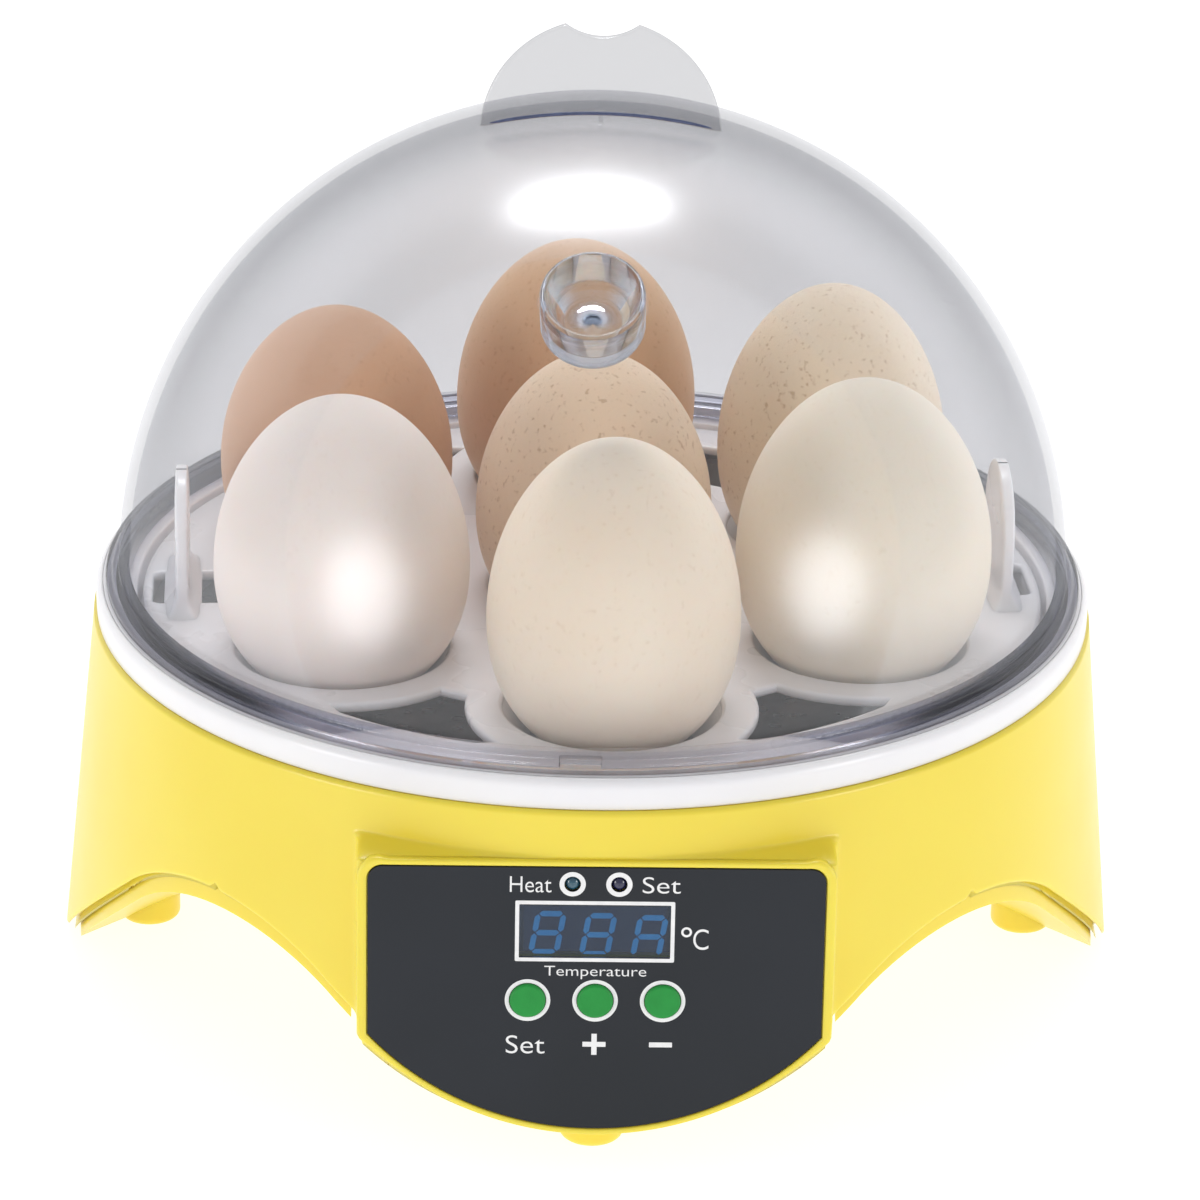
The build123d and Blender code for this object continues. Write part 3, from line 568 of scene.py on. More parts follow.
def displayWindow():
    # smoked blue acrylic pane in front of the digits
    material, tree, coords = startMaterial("smokedBlueAcrylic")
    haze = addNode(tree, "ShaderNodeTexNoise", {"Vector": coords, "Scale": 1000 / 5, "Detail": 3.0})
    passed = addNode(tree, "ShaderNodeValToRGB", {"Fac": haze.outputs["Fac"]},
                     stops=[(0.3, toLinear("C4D6E8")), (0.7, toLinear("BCCFE3"))])
    through = addNode(tree, "ShaderNodeBsdfTransparent", {"Color": passed.outputs["Color"]})
    shine = addNode(tree, "ShaderNodeBsdfGlossy", {"Color": (1, 1, 1, 1), "Roughness": 0.18})
    fresnel = addNode(tree, "ShaderNodeFresnel", {"IOR": 1.49})
    mixed = addNode(tree, "ShaderNodeMixShader", {0: fresnel.outputs["Fac"], 1: through.outputs["BSDF"],
                                                  2: shine.outputs["BSDF"]})
    endMaterial(tree, mixed.outputs["Shader"])
    return material


def glowingBar():
    # milky blue light guide of a digit, faintly lit from behind
    material, tree, coords = startMaterial("milkyBlueResin")
    cloud = addNode(tree, "ShaderNodeTexNoise", {"Vector": coords, "Scale": 1000 / 1.2, "Detail": 2.0})
    base = addNode(tree, "ShaderNodeValToRGB", {"Fac": cloud.outputs["Fac"]},
                   stops=[(0.3, toLinear("3C9CBE")), (0.7, toLinear("2F8BAE"))])
    shader = addNode(tree, "ShaderNodeBsdfPrincipled", {
        "Base Color": base.outputs["Color"], "Roughness": 0.4, "IOR": 1.5,
        "Emission Color": toLinear("2A94BA"), "Emission Strength": 0.65})
    endMaterial(tree, shader.outputs["BSDF"])
    return material


def displayFace():
    # dark blue epoxy face of the digit module
    return mouldedPlastic({"name": "navyEpoxy", "colour": "16304F", "shade": "193555", "mottle": 4,
                           "grain": 0.2,
                           "rough": 0.35, "bump": 0.2, "ior": 1.55, "scatter": 0.0, "radius": (1, 1, 1),
                           "coat": 0.2})


materials["plate"] = wetAluminium()
materials["steel"] = turnedMetal("zincPlatedSteel", "B9BABD", "A6A7AB", 0.3)
materials["brass"] = turnedMetal("drawnBrass", "D2B266", "C4A356", 0.28)
materials["board"] = circuitBoard()
materials["film"] = panelFilm()
materials["teal"] = tintedLens("tealResin", "2D5A6B", "24495C", 0.2)
materials["seam"] = tintedLens("weldedPolystyreneSeam", "4A5578", "3C4668", 0.15)
materials["navy"] = tintedLens("navyResin", "22244E", "1A1B3C", 0.2)
materials["window"] = displayWindow()
materials["bars"] = glowingBar()
materials["module"] = displayFace()
print("stage: materials made,", len(materials))


# control panel's place

buttonAxis = [joint for joint in frame["joints"] if joint["name"] == "button_set_press"][0]["axis"]
panel = {
    "origin": (0.0, -98.6, 33.0),
    "lean": np.degrees(atan2(-buttonAxis[2], buttonAxis[1])),
    "half": 40.4, "top": 26.2, "side": -6.3, "bottom": -24.5, "corner": 2.8,
    "sunk": 1.1, "rimSide": 1.8, "rimBottom": 1.1,
}


def panelPath(grow, steps):
    # the panel's outline with a rounded top and a wide arc below, as points and outward directions
    half, top = panel["half"] + grow, panel["top"] + grow
    side, low, corner = panel["side"] - grow / 2, panel["bottom"] - grow, panel["corner"] + max(grow, -1)
    sag = side - low
    radius = (half * half + sag * sag) / (2 * sag)
    sweep = atan2(half, radius - sag)
    pieces = []
    a = np.linspace(-sweep, sweep, steps)
    pieces.append(np.stack([radius * np.sin(a), low + radius - radius * np.cos(a)], -1))
    pieces.append(np.stack([np.full(12, half), np.linspace(side + 1, top - corner - 1, 12)], -1))
    a = np.linspace(0, pi / 2, 10)
    pieces.append(np.stack([half - corner + corner * np.cos(a), top - corner + corner * np.sin(a)], -1))
    across = np.linspace(half - corner - 1, -half + corner + 1, 24)
    pieces.append(np.stack([across, np.full(24, top)], -1))
    a = np.linspace(pi / 2, pi, 10)
    pieces.append(np.stack([-half + corner + corner * np.cos(a), top - corner + corner * np.sin(a)], -1))
    pieces.append(np.stack([np.full(12, -half), np.linspace(top - corner - 1, side + 1, 12)], -1))
    return np.concatenate(pieces)


def outwardDirections(path):
    ahead, behind = np.roll(path, -1, 0), np.roll(path, 1, 0)
    along = ahead - behind
    along /= np.linalg.norm(along, axis=1)[:, None]
    return np.stack([along[:, 1], -along[:, 0]], -1)


# control panel's openings and print, in the panel's own u and v

face = {
    "film": 0.8, "display": (-0.25, 13.9), "glass": (26.7, 10.2), "border": 0.7,
    "lamps": [(-4.3, 22.9), (3.9, 22.9)], "lampHole": 1.45, "lampRing": 2.31,
    "buttons": [(-11.95, 0.6), (0.0, 0.6), (11.95, 0.6)], "buttonHole": 3.32, "buttonRing": 4.03,
    "ink": 0.05,
    "words": [("Heat", (-15.3, -8.0, 21.3, 24.3)), ("Set", (8.0, 14.7, 21.3, 24.4)),
              ("Temperature", (-9.05, 8.95, 4.75, 7.25)), ("C", (17.1, 19.8, 10.6, 14.55)),
              ("Set", (-15.7, -8.8, -9.75, -6.25))],
    "digits": {"middles": [(-8.6, 13.15), (0.34, 12.85), (9.4, 12.55)], "size": (5.5, 8.3), "bar": 1.0,
               "slant": 0.17, "deep": 0.2, "front": -1.14},
    "plus": (-0.05, -7.85), "minus": (11.75, -7.85), "sign": 4.1, "stroke": 0.95, "degree": (15.9, 13.95),
}


def box2d(width, height, centre, corner):
    x, y = centre
    w, h = width / 2, height / 2
    return roundedProfile([(x - w, y - h, corner), (x + w, y - h, corner), (x + w, y + h, corner),
                           (x - w, y + h, corner)], 5)


def panelPiece(name, outlines, thickness, depth, bevel):
    # a flat plate laid on the panel with its front at a depth
    piece = flatPlate(name, outlines, thickness, bevel, 2)
    movePoints(piece, lambda p: placedOnPanel(p + np.array([0, 0, (depth - thickness / 2) * mm])))
    sharpByAngle(piece, 40)
    return piece


# yellow casing

shellLow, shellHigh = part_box("base_shell")
casing = {
    "neck": 95.3, "foot": shellHigh.x / mm, "height": shellHigh.z / mm, "edge": shellLow.z / mm,
    "lobeHalf": 42.2, "lobeTop": 60.4, "ledge": 0.9, "blend": 2.6, "wall": 2.4,
    "sweep": [(42.2, -98.0), (47.9, -86.8), (60.5, -75.0)],
    "archApex": 40.4, "archHalf": 27.4, "archSide": 30.6, "archSlope": 0.742,
    "roll": 0.7, "columns": 560, "frontColumns": 300, "rows": 62,
    "behindPanel": (21, 17), "hollow": (21, 39.5), "flankEnd": 23.4, "frontEnd": 52,
    "bowLow": 7.4, "bowRadius": 58.3, "bowHalf": 43.4, "nick": 1.1, "nickAt": 44.6, "nickWidth": 0.55,
}


def sweepRadius(azimuth):
    # where a ray at an azimuth meets the hollow arc between the lobe and the round wall
    (x1, y1), (x2, y2), (x3, y3) = casing["sweep"]
    rows = np.array([[x2 - x1, y2 - y1], [x3 - x1, y3 - y1]]) * 2
    right = np.array([x2 * x2 - x1 * x1 + y2 * y2 - y1 * y1, x3 * x3 - x1 * x1 + y3 * y3 - y1 * y1])
    centre = np.linalg.solve(rows, right)
    arc2 = (x1 - centre[0]) ** 2 + (y1 - centre[1]) ** 2
    along = centre[0] * np.sin(np.abs(azimuth)) - centre[1] * np.cos(azimuth)
    under = along ** 2 - (centre @ centre - arc2)
    return np.where(under > 0, along - np.sqrt(np.maximum(under, 0)), 0)


def casingRadius(azimuth, height, inset=0.0):
    # a cone, and in front the larger of it and the lobe; the lobe ends in a narrow ledge at its top
    fall = (casing["height"] - height) / (casing["height"] - casing["edge"])
    cone = casing["neck"] + (casing["foot"] - casing["neck"]) * fall
    lean = radians(panel["lean"])
    a = np.abs(azimuth)
    forward = panel["origin"][1] + ((height - panel["origin"][2]) * sin(lean) + panel["sunk"]) / cos(lean)
    face = -forward / np.maximum(np.cos(a), 0.2)
    flank = casing["lobeHalf"] / np.maximum(np.sin(a), 0.02)
    hollow = sweepRadius(a)
    first, last = np.radians(casing["hollow"])
    hollow = np.where((a > first) & (a < last), hollow, 0)
    side = np.where(a < radians(casing["flankEnd"]), flank, np.maximum(np.minimum(flank, hollow), 0))
    lobe = -smoothMax(-face, -side, 0.8)
    lobe = np.where(side > 1, lobe, 0)
    wide = smoothMax(lobe, cone, casing["blend"])
    behindPanel = smoothStep(*np.radians(casing["behindPanel"]), a)
    wide = wide + (lobe - wide) * behindPanel
    wide = np.where(a < radians(casing["frontEnd"]), wide, cone)
    top = casing["lobeTop"]
    share = 1 - smoothStep(top - casing["ledge"], top + casing["ledge"] * 0.6, height)
    return cone + (wide - cone) * share - inset


def archHeight(across):
    # an arc over the middle of an arch, then a straight slope down to the leg
    s = np.abs(across)
    rise = casing["archApex"] - casing["archSide"]
    radius = (casing["archHalf"] ** 2 + rise ** 2) / (2 * rise)
    arc = casing["archApex"] - radius + np.sqrt(np.maximum(radius ** 2 - s * s, 0))
    slope = casing["archSide"] - (s - casing["archHalf"]) * casing["archSlope"]
    return np.where(s < casing["archHalf"], arc, slope)


def lowerEdge(azimuth, drop=0.0, inset=0.0):
    # the casing's lower edge: the arches, and under the lobe the arc of the panel's rim
    height = np.full_like(azimuth, 20.0)
    for _ in range(14):
        radius = casingRadius(azimuth, height, inset)
        turn = np.mod(azimuth, pi / 2) - pi / 4
        arch = archHeight(radius * np.sin(turn)) - drop
        across = np.abs(radius * np.sin(azimuth))
        bow = casing["bowRadius"] - np.sqrt(np.maximum(casing["bowRadius"] ** 2 - across ** 2, 1))
        bow = casing["bowLow"] + bow
        under = (np.cos(azimuth) > 0) & (across < casing["bowHalf"])
        height = 0.5 * height + 0.5 * np.maximum(np.where(under, np.maximum(arch, bow + drop * 0.3), arch),
                                                 casing["edge"])
    return height


def casingGrid():
    # r(azimuth, height) on a grid that is denser round the lobe and at the ledge
    end, count = casing["frontEnd"], casing["frontColumns"]
    dense = np.linspace(-end, end, count)
    rest = np.linspace(end, 360 - end, casing["columns"] - count + 1)[1:-1]
    azimuth = np.radians(np.concatenate([dense, rest]))
    low = lowerEdge(azimuth)
    beside = np.abs(azimuth) - radians(casing["nickAt"])
    low += casing["nick"] * np.exp(-(beside / radians(casing["nickWidth"])) ** 2)
    top = casing["height"]
    ledgeLow = casing["lobeTop"] - casing["ledge"] - 0.2
    body = np.linspace(0, 1, casing["rows"])[:, None]
    lower = low[None, :] + casing["roll"] + (ledgeLow - low[None, :] - casing["roll"]) * body
    ledge = np.linspace(ledgeLow, casing["lobeTop"] + casing["ledge"], 12)[1:, None] + 0 * azimuth[None, :]
    upper = np.linspace(casing["lobeTop"] + casing["ledge"], top, 8)[1:, None] + 0 * azimuth[None, :]
    height = np.concatenate([lower, ledge, upper])
    radius = casingRadius(azimuth[None, :], height)
    turn = np.linspace(0, pi / 2, 5)[:-1][:, None]  # rows that roll the lower edge inwards
    rollHeight = low[None, :] + casing["roll"] * (1 - np.sin(turn))
    rollRadius = casingRadius(azimuth[None, :], low[None,
                                                    :] + casing["roll"]) - casing["roll"] * (1 - np.cos(turn))
    height = np.concatenate([rollHeight[::-1], height])
    radius = np.concatenate([rollRadius[::-1], radius])
    points = np.stack([radius * np.sin(azimuth), -radius * np.cos(azimuth), height], -1) * mm
    return points


def panelRim():
    # the raised border: a rounded section carried round the panel's outline
    path = panelPath(0, 64)
    out = outwardDirections(path)
    beside = smoothStep(-10, -4, path[:, 1]) * smoothStep(panel["half"] - 4, panel["half"] - 1,
                                                          np.abs(path[:, 0]))
    width = panel["rimBottom"] + (panel["rimSide"] - panel["rimBottom"]) * beside
    section = [(0.0, -1.4), (0.0, -0.5), (0.06, -0.2), (0.2, -0.04), (0.4, 0.0), (0.62, 0.0), (0.84, -0.06),
               (0.96, -0.3), (1.0, -0.7), (1.0, -1.9), (0.5, -2.0)]
    rows = []
    for share, depth in section:
        place = path + out * (width * share)[:, None]
        rows.append(np.concatenate([place, np.full((len(path), 1), depth)], 1))
    points = placedOnPanel(np.array(rows) * mm)
    piece = meshObject("rim", points, gridFaces(len(section), len(path), True, True))
    return piece


def panelOpenings():
    # cutters for the display, the lamps and the buttons, right through the casing's front
    width, height = face["glass"]
    outlines = [box2d(width + 0.3, height + 0.3, face["display"], 0.3)]
    outlines += [circle(1.7, place, 32) for place in face["lamps"]]
    outlines += [circle(face["buttonHole"], place, 48) for place in face["buttons"]]
    return panelPiece("openings", outlines, 9, 3, 0.01)


def yellowCasing():
    points = casingGrid()
    piece = meshObject("casingShell", points, gridFaces(points.shape[0], points.shape[1], False, True))
    wall = piece.modifiers.new("wall", "SOLIDIFY")
    wall.thickness = casing["wall"] * mm
    wall.offset = -1
    bpy.context.view_layer.update()
    piece.data = evaluated(piece)
    piece.modifiers.clear()
    piece = cut(piece, panelOpenings())
    return joined("casingShell", [piece, panelRim()])


finishPiece(yellowCasing(), materials["yellow"], "base", "yellow_abs", "base_shell")
print("stage: casing")


# white tub

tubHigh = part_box("inner_tub")[1]
tub = {"rim": 94.9, "top": tubHigh.z / mm, "seat": 69.0, "post": 76, "boss": 66}


def whiteTub():
    # lathe profile from the rim's outside over its top, down the inside, and back under the floor
    corners = [
        (tub["rim"] - 0.15, tub["seat"], 0.5), (tub["rim"], tub["top"] - 0.6, 1.5), (93.2, tub["top"], 0.5),
        (90.4, tub["top"], 0.6), (90.4, 72.6, 0.4), (87.0, 72.6, 0.6), (87.0, 66.0, 0.4), (82.6, 66.0, 0.6),
        (82.6, 52.5, 2.0), (61.5, 52.5, 0.4), (61.5, 55.5, 0.5), (60.0, 55.5, 0.5), (60.0, 52.5, 0.4),
        (32.0, 52.5, 0.4), (32.0, 55.5, 0.5), (30.5, 55.5, 0.5), (30.5, 52.5, 0.4), (27.0, 52.5, 0.4),
        (27.0, 50.0, 0.4), (85.0, 50.0, 2.0), (85.0, 63.6, 1.0), (89.4, 63.6, 0.5), (89.4, 67.0, 0.3),
        (90.9, 66.5, 0.3), (92.5, 66.5, 0.3), (92.5, 69.0, 0.2),
    ]
    pieces = [turnedPiece("tubBody", roundedProfile(corners), 240)]
    for azimuth in (45, 135, 225, 315):
        post = turnedPiece("post", roundedProfile([(4.5, 38.5, 0.5), (4.5, 50.4, 0), (1.6, 50.4, 0),
                                                   (1.6, 38.5, 0.3)]), 24)
        movePoints(post, lambda p, a=azimuth: p + np.append(polar(tub["post"], a), 0) * mm)
        pieces.append(post)
    for azimuth in (0, 90, 180, 270):
        boss = turnedPiece("boss", roundedProfile([(4.0, 52.2, 0), (4.0, 58.0, 0.5), (1.6, 58.0, 0.3),
                                                   (1.6, 52.2, 0)]), 24)
        movePoints(boss, lambda p, a=azimuth: p + np.append(polar(tub["boss"], a), 0) * mm)
        pieces.append(boss)
    return joined("tub", pieces)


finishPiece(whiteTub(), materials["white"], "base", "white_abs", "inner_tub")
print("stage: tub")


# clear dome

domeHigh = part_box("dome_cover")[1]
dome = {
    "centre": 76.0, "outer": 90.5, "inner": 88.5, "flange": domeHigh.x / mm, "seat": 75.0, "turn": -2.0,
    "tilt": 36.0, "plug": 9.4, "plugInner": 80.7, "plugOuter": 91.5,
    "grip": 22.4, "gripCentre": 161.9, "gripThick": 1.9, "notch": 11.3, "notchLow": 181.0,
    "notchHalf": 6.75, "seamHalf": 20.6, "seam": 0.34,
}


def turnedWithDome(points):
    return turnedBy(dome["turn"], points)


def plugPlace(points):
    # from an upright shape at the dome's centre to the plug's slanted axis
    a = radians(dome["tilt"])
    lean = np.array([[1, 0, 0], [0, cos(a), -sin(a)], [0, sin(a), cos(a)]])
    return turnedWithDome(points @ lean.T + np.array([0, 0, dome["centre"] * mm]))


def sphereLine(radius, low, high, steps):
    # (r, z) along a quarter circle, from one height above the centre to another
    a = np.linspace(np.arcsin(low / radius), np.arcsin(high / radius), steps)
    return np.stack([radius * np.cos(a), dome["centre"] + radius * np.sin(a)], -1)


def domeWall():
    # outer and inner spheres on a shared lower edge, turned about Z; the poles close on small rings
    outer = sphereLine(dome["outer"], 0.9, dome["outer"] * 0.99999, 90)
    inner = sphereLine(dome["inner"], 0.0, dome["inner"] * 0.99999, 90)[::-1]
    profile = np.concatenate([outer, inner])
    points = turnedPoints(profile, 288)
    faces = gridFaces(len(profile), 288, True, True)
    piece = meshObject("domeWall", points, faces)
    cutter = turnedPiece("cutter", np.array([(0.001, 70), (dome["plug"] + 0.1, 70), (dome["plug"] + 0.1, 110),
                                             (0.001, 110)]), 96)
    movePoints(cutter, lambda p: plugPlace(p))
    movePoints(piece, turnedWithDome)
    return cut(piece, cutter)


def domeGrip():
    # part of a disc with a hollow for the thumb, whose foot follows the sphere
    radius, centre = dome["grip"], dome["gripCentre"]
    footHalf = sqrt(radius ** 2 - 1.4 ** 2) - 0.15
    notchHalf = dome["notchHalf"]
    notchCentre = dome["notchLow"] + dome["notch"]
    right = np.linspace(atan2(dome["centre"] + 87.6 - centre, 22.3), atan2(21.3, notchHalf), 40)
    edge = np.stack([radius * np.cos(right), centre + radius * np.sin(right)], -1)
    sweep = np.linspace(np.arcsin(notchHalf / dome["notch"]), -np.arcsin(notchHalf / dome["notch"]), 17)[1:-1]
    notch = np.stack([dome["notch"] * np.sin(sweep), notchCentre - dome["notch"] * np.cos(sweep)], -1)
    left = edge[::-1] * np.array([-1, 1])
    across = np.linspace(-footHalf, footHalf, 40)
    foot = np.stack([across, dome["centre"] + np.sqrt((dome["outer"] - 0.4) ** 2 - across ** 2)], -1)
    outline = np.concatenate([edge, notch, left, foot[1:-1]])
    plate = flatPlate("grip", [outline], dome["gripThick"], 0.35, 2)
    movePoints(plate, lambda p: turnedWithDome(np.stack([p[:, 0], p[:, 2], p[:, 1]], -1)))
    sharpByAngle(plate, 40)
    return plate


def gripSeam():
    # the dark line where the grip's front foot is welded to the sphere: a thin bead that follows the curve
    half = dome["seamHalf"]
    across = np.linspace(-half, half, 60)[:, None]
    a = np.linspace(0, 2 * pi, 12, endpoint=False)[None, :]
    height = dome["centre"] + np.sqrt((dome["outer"] + 0.1) ** 2 - across ** 2)
    size = dome["seam"] * np.sqrt(np.maximum(1 - (across / half) ** 8, 0.02))
    points = np.stack([across + 0 * a, -dome["gripThick"] / 2 - 0.05 + size * np.cos(a),
                       height + size * np.sin(a)], -1)
    ends = [list(range(12)), list(range(708, 720))[::-1]]
    piece = meshObject("gripSeam", points * mm, gridFaces(60, 12, False, True) + ends)
    return movePoints(piece, turnedWithDome)


def domeFlange():
    # seat ring with a step, an upright bead and the spigot that drops into the tub
    seat = dome["seat"]
    corners = [
        (88.5, seat - 1.8, 0.3), (89.9, seat - 1.8, 0.3), (89.9, seat, 0.2), (dome["flange"], seat, 0.3),
        (dome["flange"], seat + 1.5, 0.5), (91.9, seat + 1.6, 0.3), (91.6, seat + 2.3, 0.4),
        (90.5, seat + 2.4, 0.3),
        (90.49, seat + 3.2, 0.1), (88.49, seat + 3.2, 0.1),
    ]
    ringPiece = turnedPiece("flange", roundedProfile(corners, 4), 288)
    lug = flatPlate("lug", [roundedProfile([(-3.75, -92.4, 0.4), (3.75, -92.4, 0.4), (3.75, -90.2, 0.2),
                                            (-3.75, -90.2, 0.2)], 8)], 1.6, 0.2, 2)
    movePoints(lug, lambda p: turnedWithDome(p + np.array([0, 0, (seat + 1.8) * mm])))
    sharpByAngle(lug, 35)
    return joined("domeFlange", [ringPiece, lug])


finishPiece(domeWall(), materials["dome"], "dome", "clear_ps", "dome_cover")
grip = finishPiece(domeGrip(), materials["grip"], "dome", "clear_ps")
grip.name = "domeGrip"
finishPiece(domeFlange(), materials["flange"], "dome", "clear_ps")
finishPiece(gripSeam(), materials["seam"], "dome", "clear_ps")


def ventPlug():
    # thick cup whose bore narrows to a flat floor; its mouth is rounded
    low, high, wide = dome["plugInner"], dome["plugOuter"], dome["plug"]
    corners = [
        (0.02, low, 0), (wide - 1.0, low, 0.6), (wide, low + 1.2, 0.8), (wide, high, 0.6), (8.4, high, 0.5),
        (5.2, low + 1.8, 0.6), (0.02, low + 1.8, 0),
    ]
    piece = turnedPiece("plugCup", roundedProfile(corners, 6), 96)
    return movePoints(piece, plugPlace)


finishPiece(ventPlug(), materials["plug"], "plug", "clear_ps", "vent_plug")
print("stage: dome, flange, grip and plug")


# egg tray

tray = {
    "top": 72.0, "radius": 86.0, "thick": 2.0, "turn": 3.0, "circle": 56.0, "lip": 19.9,
    "cupLow": 65.5, "cupFoot": 14.6, "ventOuter": 76.0, "ventClear": 26.8, "ventHalf": 12.2,
    "handle": 78.3, "handleTop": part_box("egg_tray")[1].z / mm,
}


def turnedWithTray(points):
    return turnedBy(tray["turn"], points)


def ventOutline(azimuth):
    # three-cornered hole: two sides follow the neighbouring cups and the third follows the rim
    outer, clear, half = tray["ventOuter"], tray["ventClear"], radians(tray["ventHalf"])
    rim = np.linspace(-half, half, 15)[1:-1]
    arc = np.stack([outer * np.sin(rim), -outer * np.cos(rim)], -1)
    cup = polar(tray["circle"], 30)
    ends = np.array([outer * sin(half), -outer * cos(half)]), np.array([0, -55.6])
    angles = [atan2(*(end - cup)[::-1]) for end in ends]
    side = np.linspace(angles[0], angles[1], 12)
    right = cup + clear * np.stack([np.cos(side), np.sin(side)], -1)
    right = np.where(np.abs(right[:, :1]) < 0.9, np.array([[0.9, -56.2]]), right)
    left = (right * np.array([-1, 1]))[::-1]
    outline = np.concatenate([arc, right[:-1], left[1:]])
    return turnedBy(azimuth, outline)


def handleWindow(azimuth):
    corners = [(-7.3, -84.0, 2.0), (7.3, -84.0, 2.0), (7.3, -66.0, 2.0), (-7.3, -66.0, 2.0)]
    return turnedBy(azimuth, roundedProfile(corners, 8))


def trayHandle(azimuth):
    # grip plate with a round top; its foot spreads in a hollow curve onto the tray
    top, low = tray["handleTop"], tray["top"]
    z = np.concatenate([np.linspace(0, 3.4, 12), np.linspace(3.4, top - low - 13, 12)[1:]])
    z = np.concatenate([z, top - low - 13 + 13 * np.sin(np.linspace(0, pi / 2 - 0.02, 18)[1:])])
    spread = np.where(z < 4, (1 - np.clip(z / 4, 0, 1)) ** 2.2, 0)
    crown = np.clip((z - (top - low - 13)) / 13, 0, 1)
    half = 13 * np.sqrt(np.maximum(1 - crown ** 2, 0.0004)) + 3.6 * spread
    thick = 1.35 + 2.2 * spread - 0.35 * crown ** 6
    a = np.linspace(0, 2 * pi, 64, endpoint=False)
    power = 0.32  # a superellipse section, nearly a rounded bar
    s = np.sign(np.cos(a)) * np.abs(np.cos(a)) ** power
    t = np.sign(np.sin(a)) * np.abs(np.sin(a)) ** power
    x = half[:, None] * s[None, :]
    y = -tray["handle"] + thick[:, None] * t[None, :]
    points = np.stack([x, y, low - 0.3 + z[:, None] + 0 * x], -1)
    return meshObject("handle", turnedBy(azimuth, points) * mm, gridFaces(len(z), 64, False, True))


def eggTray():
    centres = [(0.0, 0.0)] + [tuple(polar(tray["circle"], 60 * i)) for i in range(6)]
    outlines = [circle(tray["radius"], steps=240)]
    outlines += [circle(tray["lip"], centre, 128) for centre in centres]
    outlines += [ventOutline(azimuth) for azimuth in (30, 150, 210, 330)]
    outlines += [handleWindow(azimuth) for azimuth in (90, 270)]
    sheet = flatPlate("sheet", outlines, tray["thick"], 0.8, 3)
    movePoints(sheet, lambda p: p + np.array([0, 0, (tray["top"] - tray["thick"] / 2) * mm]))
    sharpByAngle(sheet, 50)
    pieces = [sheet]
    for centre in centres:
        corners = [(tray["lip"] + 1.2, 71.0, 0.2), (tray["lip"] + 0.1, 71.2, 0.4),
                   (tray["cupFoot"], tray["cupLow"], 0.3),
                   (tray["cupFoot"] + 1.5, tray["cupLow"], 0.3)]
        cup = turnedPiece("cup", roundedProfile(corners[::-1], 4), 96)
        movePoints(cup, lambda p, c=centre: p + np.array([c[0], c[1], 0]) * mm)
        pieces.append(cup)
    skirt = roundedProfile([(84.4, 71.0, 0), (84.4, 66.0, 0.4), (85.9, 66.0, 0.5), (85.9, 71.0, 0)][::-1], 4)
    pieces.append(turnedPiece("skirt", skirt[::-1], 240))
    pieces += [trayHandle(azimuth) for azimuth in (90, 270)]
    piece = joined("trayMoulding", pieces)
    return movePoints(piece, turnedWithTray)


finishPiece(eggTray(), materials["tray"], "tray", "white_abs", "egg_tray")
print("stage: tray")


# eggs

eggShape = {"rows": 90, "columns": 128, "widest": 0.45, "blunt": 2.2, "taper": 0.05}


def eggPiece(place):
    # radius = half width x sqrt(1 - |t|^p) below the widest level, and tapering above it; t runs from -1 to 1
    low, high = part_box("egg_" + place)
    centre = (low + high) / 2
    width, length = (high.x - low.x) / mm, (high.z - low.z) / mm
    rows, columns, widest = eggShape["rows"], eggShape["columns"], eggShape["widest"]
    t = np.sin(np.linspace(-pi / 2 + 0.004, pi / 2 - 0.004, rows))
    blunt = np.sqrt(np.maximum(1 - np.abs(t) ** eggShape["blunt"], 0))
    pointed = np.sqrt(np.maximum(1 - t ** 2, 0)) * (1 - eggShape["taper"] * t ** 2)
    radius = width / 2 * np.where(t < 0, blunt, pointed)
    height = low.z / mm + length * np.where(t < 0, widest * (1 + t), widest + (1 - widest) * t)
    points = turnedPoints(np.stack([radius, height], -1), columns)
    bottom = list(range(columns))[::-1]
    top = [(rows - 1) * columns + i for i in range(columns)]
    piece = meshObject("shell_" + place, points, gridFaces(rows, columns, False, True) + [bottom, top])
    return movePoints(piece, lambda p: p + np.array([centre.x, centre.y, 0]))


for place in shells:
    name = "egg_" + place
    finishPiece(eggPiece(place), materials[name], name, slots[name], name)
print("stage: eggs")


def panelFace():
    width, height = face["glass"]
    outlines = [panelPath(-0.18, 64), box2d(width, height, face["display"], 0.3)]
    outlines += [circle(face["lampHole"], place, 40) for place in face["lamps"]]
    outlines += [circle(face["buttonHole"], place, 56) for place in face["buttons"]]
    return panelPiece("panelFilm", outlines, face["film"], -0.2, 0.1)


def inkRings():
    # printed borders round the display, the lamps and the buttons
    width, height = face["glass"]
    pieces = [panelPiece("inkFrame", [box2d(width + 2 * face["border"], height + 2 * face["border"],
                                            face["display"], 0.3),
                                      box2d(width, height, face["display"], 0.2)], face["ink"], -0.17, 0.01)]
    for place in face["lamps"]:
        pieces.append(panelPiece("inkLamp", [circle(face["lampRing"], place, 48),
                                             circle(face["lampHole"], place, 48)],
                                 face["ink"], -0.17, 0.01))
    for place in face["buttons"]:
        pieces.append(panelPiece("inkButton", [circle(face["buttonRing"], place, 64),
                                               circle(face["buttonHole"], place, 64)], face["ink"], -0.17,
                                 0.01))
    return pieces


